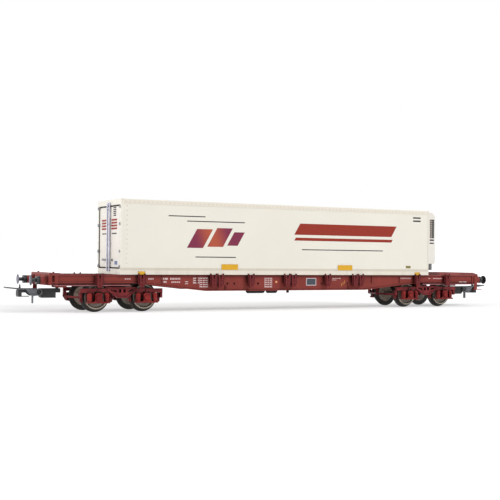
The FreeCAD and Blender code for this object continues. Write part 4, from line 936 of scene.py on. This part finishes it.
left, right, low, high = -9.9, -5.9, 19.0, 21.1
sticker = slab("blue_sticker", (door_face - 0.04, left, low), (door_face + 0.01, right, high))
pick(sticker, TO_REAR)
inset(0.28, 0.005)
close()
soften(sticker, 0.012)
material, shader, place = surface("sticker_blue", coat=0.3)
across = abs(place.axis(1) / MM - (left + right) / 2)
up = abs(place.axis(2) / MM - (low + high) / 2)
cover = place.noise(1500, 3)
inside = across.ramp(1.74, 1.68) * up.ramp(0.8, 0.74)
colour = inside.mix(shade(232, 236, 240), cover.ramp(0.3, 0.7).mix(shade(22, 58, 112), shade(38, 80, 140)))
finish(shader, colour, 0.34 + (cover - 0.5) * 0.15, cover, 0.004)
hang(sticker, "container", material, 0.6)


# ---------------------------------------------------------------- corner castings
# Four lifting castings, moulded in yellow, are let into the bottom rails over the pins that
# locate the container. Their top corners are cut off, and a painted shade darkens their joins.
material, shader, place = surface("casting_yellow", coat=0.1)
grain = place.noise(1500, 3)
cloud = place.noise(300, 2)
colour = (cloud.ramp(0.3, 0.7) * 0.7 + grain * 0.3).mix(shade(214, 160, 22), shade(240, 192, 44))
# painted shade: darker in the joins and corners
colour = (corners(place, 0.7).ramp(0.85, 0.35) * 0.5).mix(colour, shade(120, 82, 20))
finish(shader, colour, 0.42 + (grain - 0.5) * 0.2, grain, 0.02)
coat(material, "corner_castings")


# ---------------------------------------------------------------- refrigeration unit
# The cooling unit is a moulded cream housing on the front wall. A painted shade lies in its
# side slots and on the bars between them, darkest towards the front. A black condenser grille
# and a fan ring face forward, and its foot is dark plastic.
unit_face, unit_side = (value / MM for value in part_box("refrigeration_unit")[1][:2])
SLOT_REAR, SLOT_FRONT, SLOT_FOOT, SLOT_TOP = 79.55, 81.95, 33.2, 42.2
material, shader, place = surface("unit_cream", specular=0.45)
along, across, up = (place.axis(index) / MM for index in range(3))
cloud = place.noise(60, 3)
fine = place.noise(1200, 2)
side = abs(across)
slots = side.ramp(unit_side - 0.06, unit_side - 0.12) * side.ramp(unit_side - 0.62, unit_side - 0.56)
slots = slots * along.between(SLOT_REAR, SLOT_FRONT, 0.03) * up.between(SLOT_FOOT, SLOT_TOP, 0.03)
comb = side.ramp(unit_side - 0.08, unit_side - 0.04) * along.between(SLOT_REAR - 0.15, SLOT_FRONT + 0.15, 0.1)
comb = comb * up.between(SLOT_FOOT - 0.1, SLOT_TOP + 0.1, 0.1)
shaded_end = along.ramp(80.7, 80.8)
foot = up.ramp(20.85, 20.75)
colour = (cloud.ramp(0.3, 0.7) * 0.7 + fine * 0.3).mix(shade(230, 226, 217), shade(240, 237, 230))
# painted shade: the bars between the side slots, then the slots themselves, darker towards the front
colour = comb.mix(colour, shaded_end.mix(shade(176, 164, 156), shade(112, 110, 106)))
colour = slots.mix(colour, shaded_end.mix(shade(84, 76, 72), shade(14, 14, 15)))
colour = foot.mix(colour, fine.ramp(0.3, 0.7).mix(shade(92, 90, 92), shade(126, 124, 128)))
finish(shader, colour, 0.42 + (fine - 0.5) * 0.16, place.noise(4200, 2), 0.012)
coat(material, "refrigeration_unit")

unit_black = grained("unit_black_plastic", (2200, 3), shade(30, 30, 32), shade(56, 56, 58),
                     0.55, 0.2, 0.02, specular=0.4)
for side, hand in SIDES:
    bars = []
    for up, thick in ((32.25, 0.34), (30.75, 0.26)):
        bar = slab("bar", (79.5, side * unit_side, up - thick),
                   (81.95, side * (unit_side + 0.12), up + thick))
        pick(bar, TO_LEFT * side)
        inset(0.09, 0.03)
        close()
        soften(bar, 0.03)
        bars.append(bar)
    hang(unite(bars, "unit_side_bars_" + hand), "container", unit_black)
    louvre = slab("unit_foot_louvres_" + hand, (77.6, side * unit_side, 18.15),
                  (79.4, side * (unit_side + 0.16), 18.4))
    pick(louvre, TO_LEFT * side)
    bpy.ops.transform.translate(value=(0, 0, -0.12 * MM))
    close()
    soften(louvre, 0.03)
    spread(louvre, [(0, 0, 0.42 * step) for step in range(1, 6)])
    hang(louvre, "container", unit_black)

grille = slab("condenser_grille", (unit_face - 0.02, -9.6, 33.4), (unit_face + 0.1, 9.6, 42.4))
pick(grille, TO_FRONT)
inset(0.35)
inset(0.1, -0.08)
close()
soften(grille, 0.04)
slat = slab("condenser_slats", (unit_face + 0.02, -9.2, 33.85), (unit_face + 0.14, 9.2, 34.1))
pick(slat, TO_FRONT)
bpy.ops.transform.translate(value=(0, 0, -0.1 * MM))
close()
spread(slat, [(0, 0, 0.52 * step) for step in range(1, 16)])
for piece in (grille, slat):
    hang(piece, "container", unit_black)

FAN_HEIGHT = 27.6
fan = rod("fan_ring", 4.1, 0.2, (unit_face + 0.05, 0, FAN_HEIGHT), (0, math.pi / 2, 0), 48)
pick(fan, TO_FRONT)
inset(0.4)
inset(0.08, -0.12)
inset(3.0)
pull(x=0.1)
close()
soften(fan, 0.04)
spoke = slab("fan_spokes", (unit_face + 0.04, -3.8, FAN_HEIGHT - 0.08),
             (unit_face + 0.14, 3.8, FAN_HEIGHT + 0.08))
soften(spoke, 0.02)
lift = Matrix.Translation((0, 0, FAN_HEIGHT * MM))
spread(spoke, [lift @ Matrix.Rotation(math.pi * k / 6, 4, "X") @ lift.inverted() for k in range(1, 6)])
for piece in (fan, spoke):
    hang(piece, "container", unit_black, 0.6)

panels = []
for left, right, low, high in ((-10.9, -4.9, 21.8, 32.4), (4.9, 10.9, 21.8, 32.4), (-4.3, 4.3, 21.6, 23.0)):
    cover = slab("cover", (unit_face - 0.02, left, low), (unit_face + 0.1, right, high))
    pick(cover, TO_FRONT)
    inset(0.25)
    inset(0.12, -0.06)
    close()
    soften(cover, 0.04)
    panels.append(cover)
hang(unite(panels, "unit_front_covers"), "container", box_cream)


# ---------------------------------------------------------------- floor and light
# A white floor runs out of sight, under a soft lamp high on the right and a broad one at the
# door end. The floor and the air show white to the eye, and the floor keeps the shadow.
def seen_rays(tree):
    """1 for what the eye sees straight, in a shiny surface or through a clear one; else 0."""
    path = tree.nodes.new("ShaderNodeLightPath")
    eye, shine, clear = (Wire(tree, path.outputs["Is %s Ray" % kind])
                         for kind in ("Camera", "Glossy", "Transmission"))
    seen = eye + shine + clear
    return seen.maths("MINIMUM", seen, 1.0)


bpy.ops.mesh.primitive_circle_add(vertices=96, radius=6.0, fill_type="NGON", location=(0, 0, 0))
floor = bpy.context.active_object
floor.name = "floor"
material = bpy.data.materials.new("floor_white")
material.use_nodes = True
tree = material.node_tree
tree.nodes.clear()
output = tree.nodes.new("ShaderNodeOutputMaterial")
seen = seen_rays(tree)
paper = seen.node("BsdfDiffuse", {}, {"Color": (0.96, 0.96, 0.96, 1)})
glow = seen.node("Emission", {}, {"Color": (1, 1, 1, 1), "Strength": 1.3})
place = Wire(tree, tree.nodes.new("ShaderNodeTexCoord").outputs["Object"])
away = (place.axis(0) * place.axis(0) + place.axis(1) * place.axis(1)) ** 0.5
both = seen.node("MixShader", {}, {0: seen * (0.35 + away.ramp(0.14, 0.4) * 0.65), 1: paper, 2: glow})
tree.links.new(both.socket, output.inputs[0])
floor.data.materials.append(material)

world = bpy.data.worlds.new("studio")
bpy.context.scene.world = world
world.use_nodes = True
tree = world.node_tree
seen = seen_rays(tree)
dim = seen.node("Background", {}, {"Color": (1, 1, 1, 1), "Strength": 0.54})
bright = seen.node("Background", {}, {"Color": (1, 1, 1, 1), "Strength": 1.0})
both = seen.node("MixShader", {}, {0: seen, 1: dim, 2: bright})
tree.links.new(both.socket, tree.nodes["World Output"].inputs[0])
for name, place, size, power in (("high_lamp", (0.62, -0.72, 0.85), 0.45, 7.0),
                                 ("door_lamp", (-1.15, -0.05, 0.35), 0.6, 6.0)):
    lamp = bpy.data.lights.new(name, "AREA")
    lamp.shape = "DISK"
    lamp.size = size
    lamp.energy = power
    light = bpy.data.objects.new(name, lamp)
    bpy.context.scene.collection.objects.link(light)
    light.location = place
    light.rotation_euler = (Vector((0, 0, 0.02)) - Vector(place)).to_track_quat("-Z", "Y").to_euler()
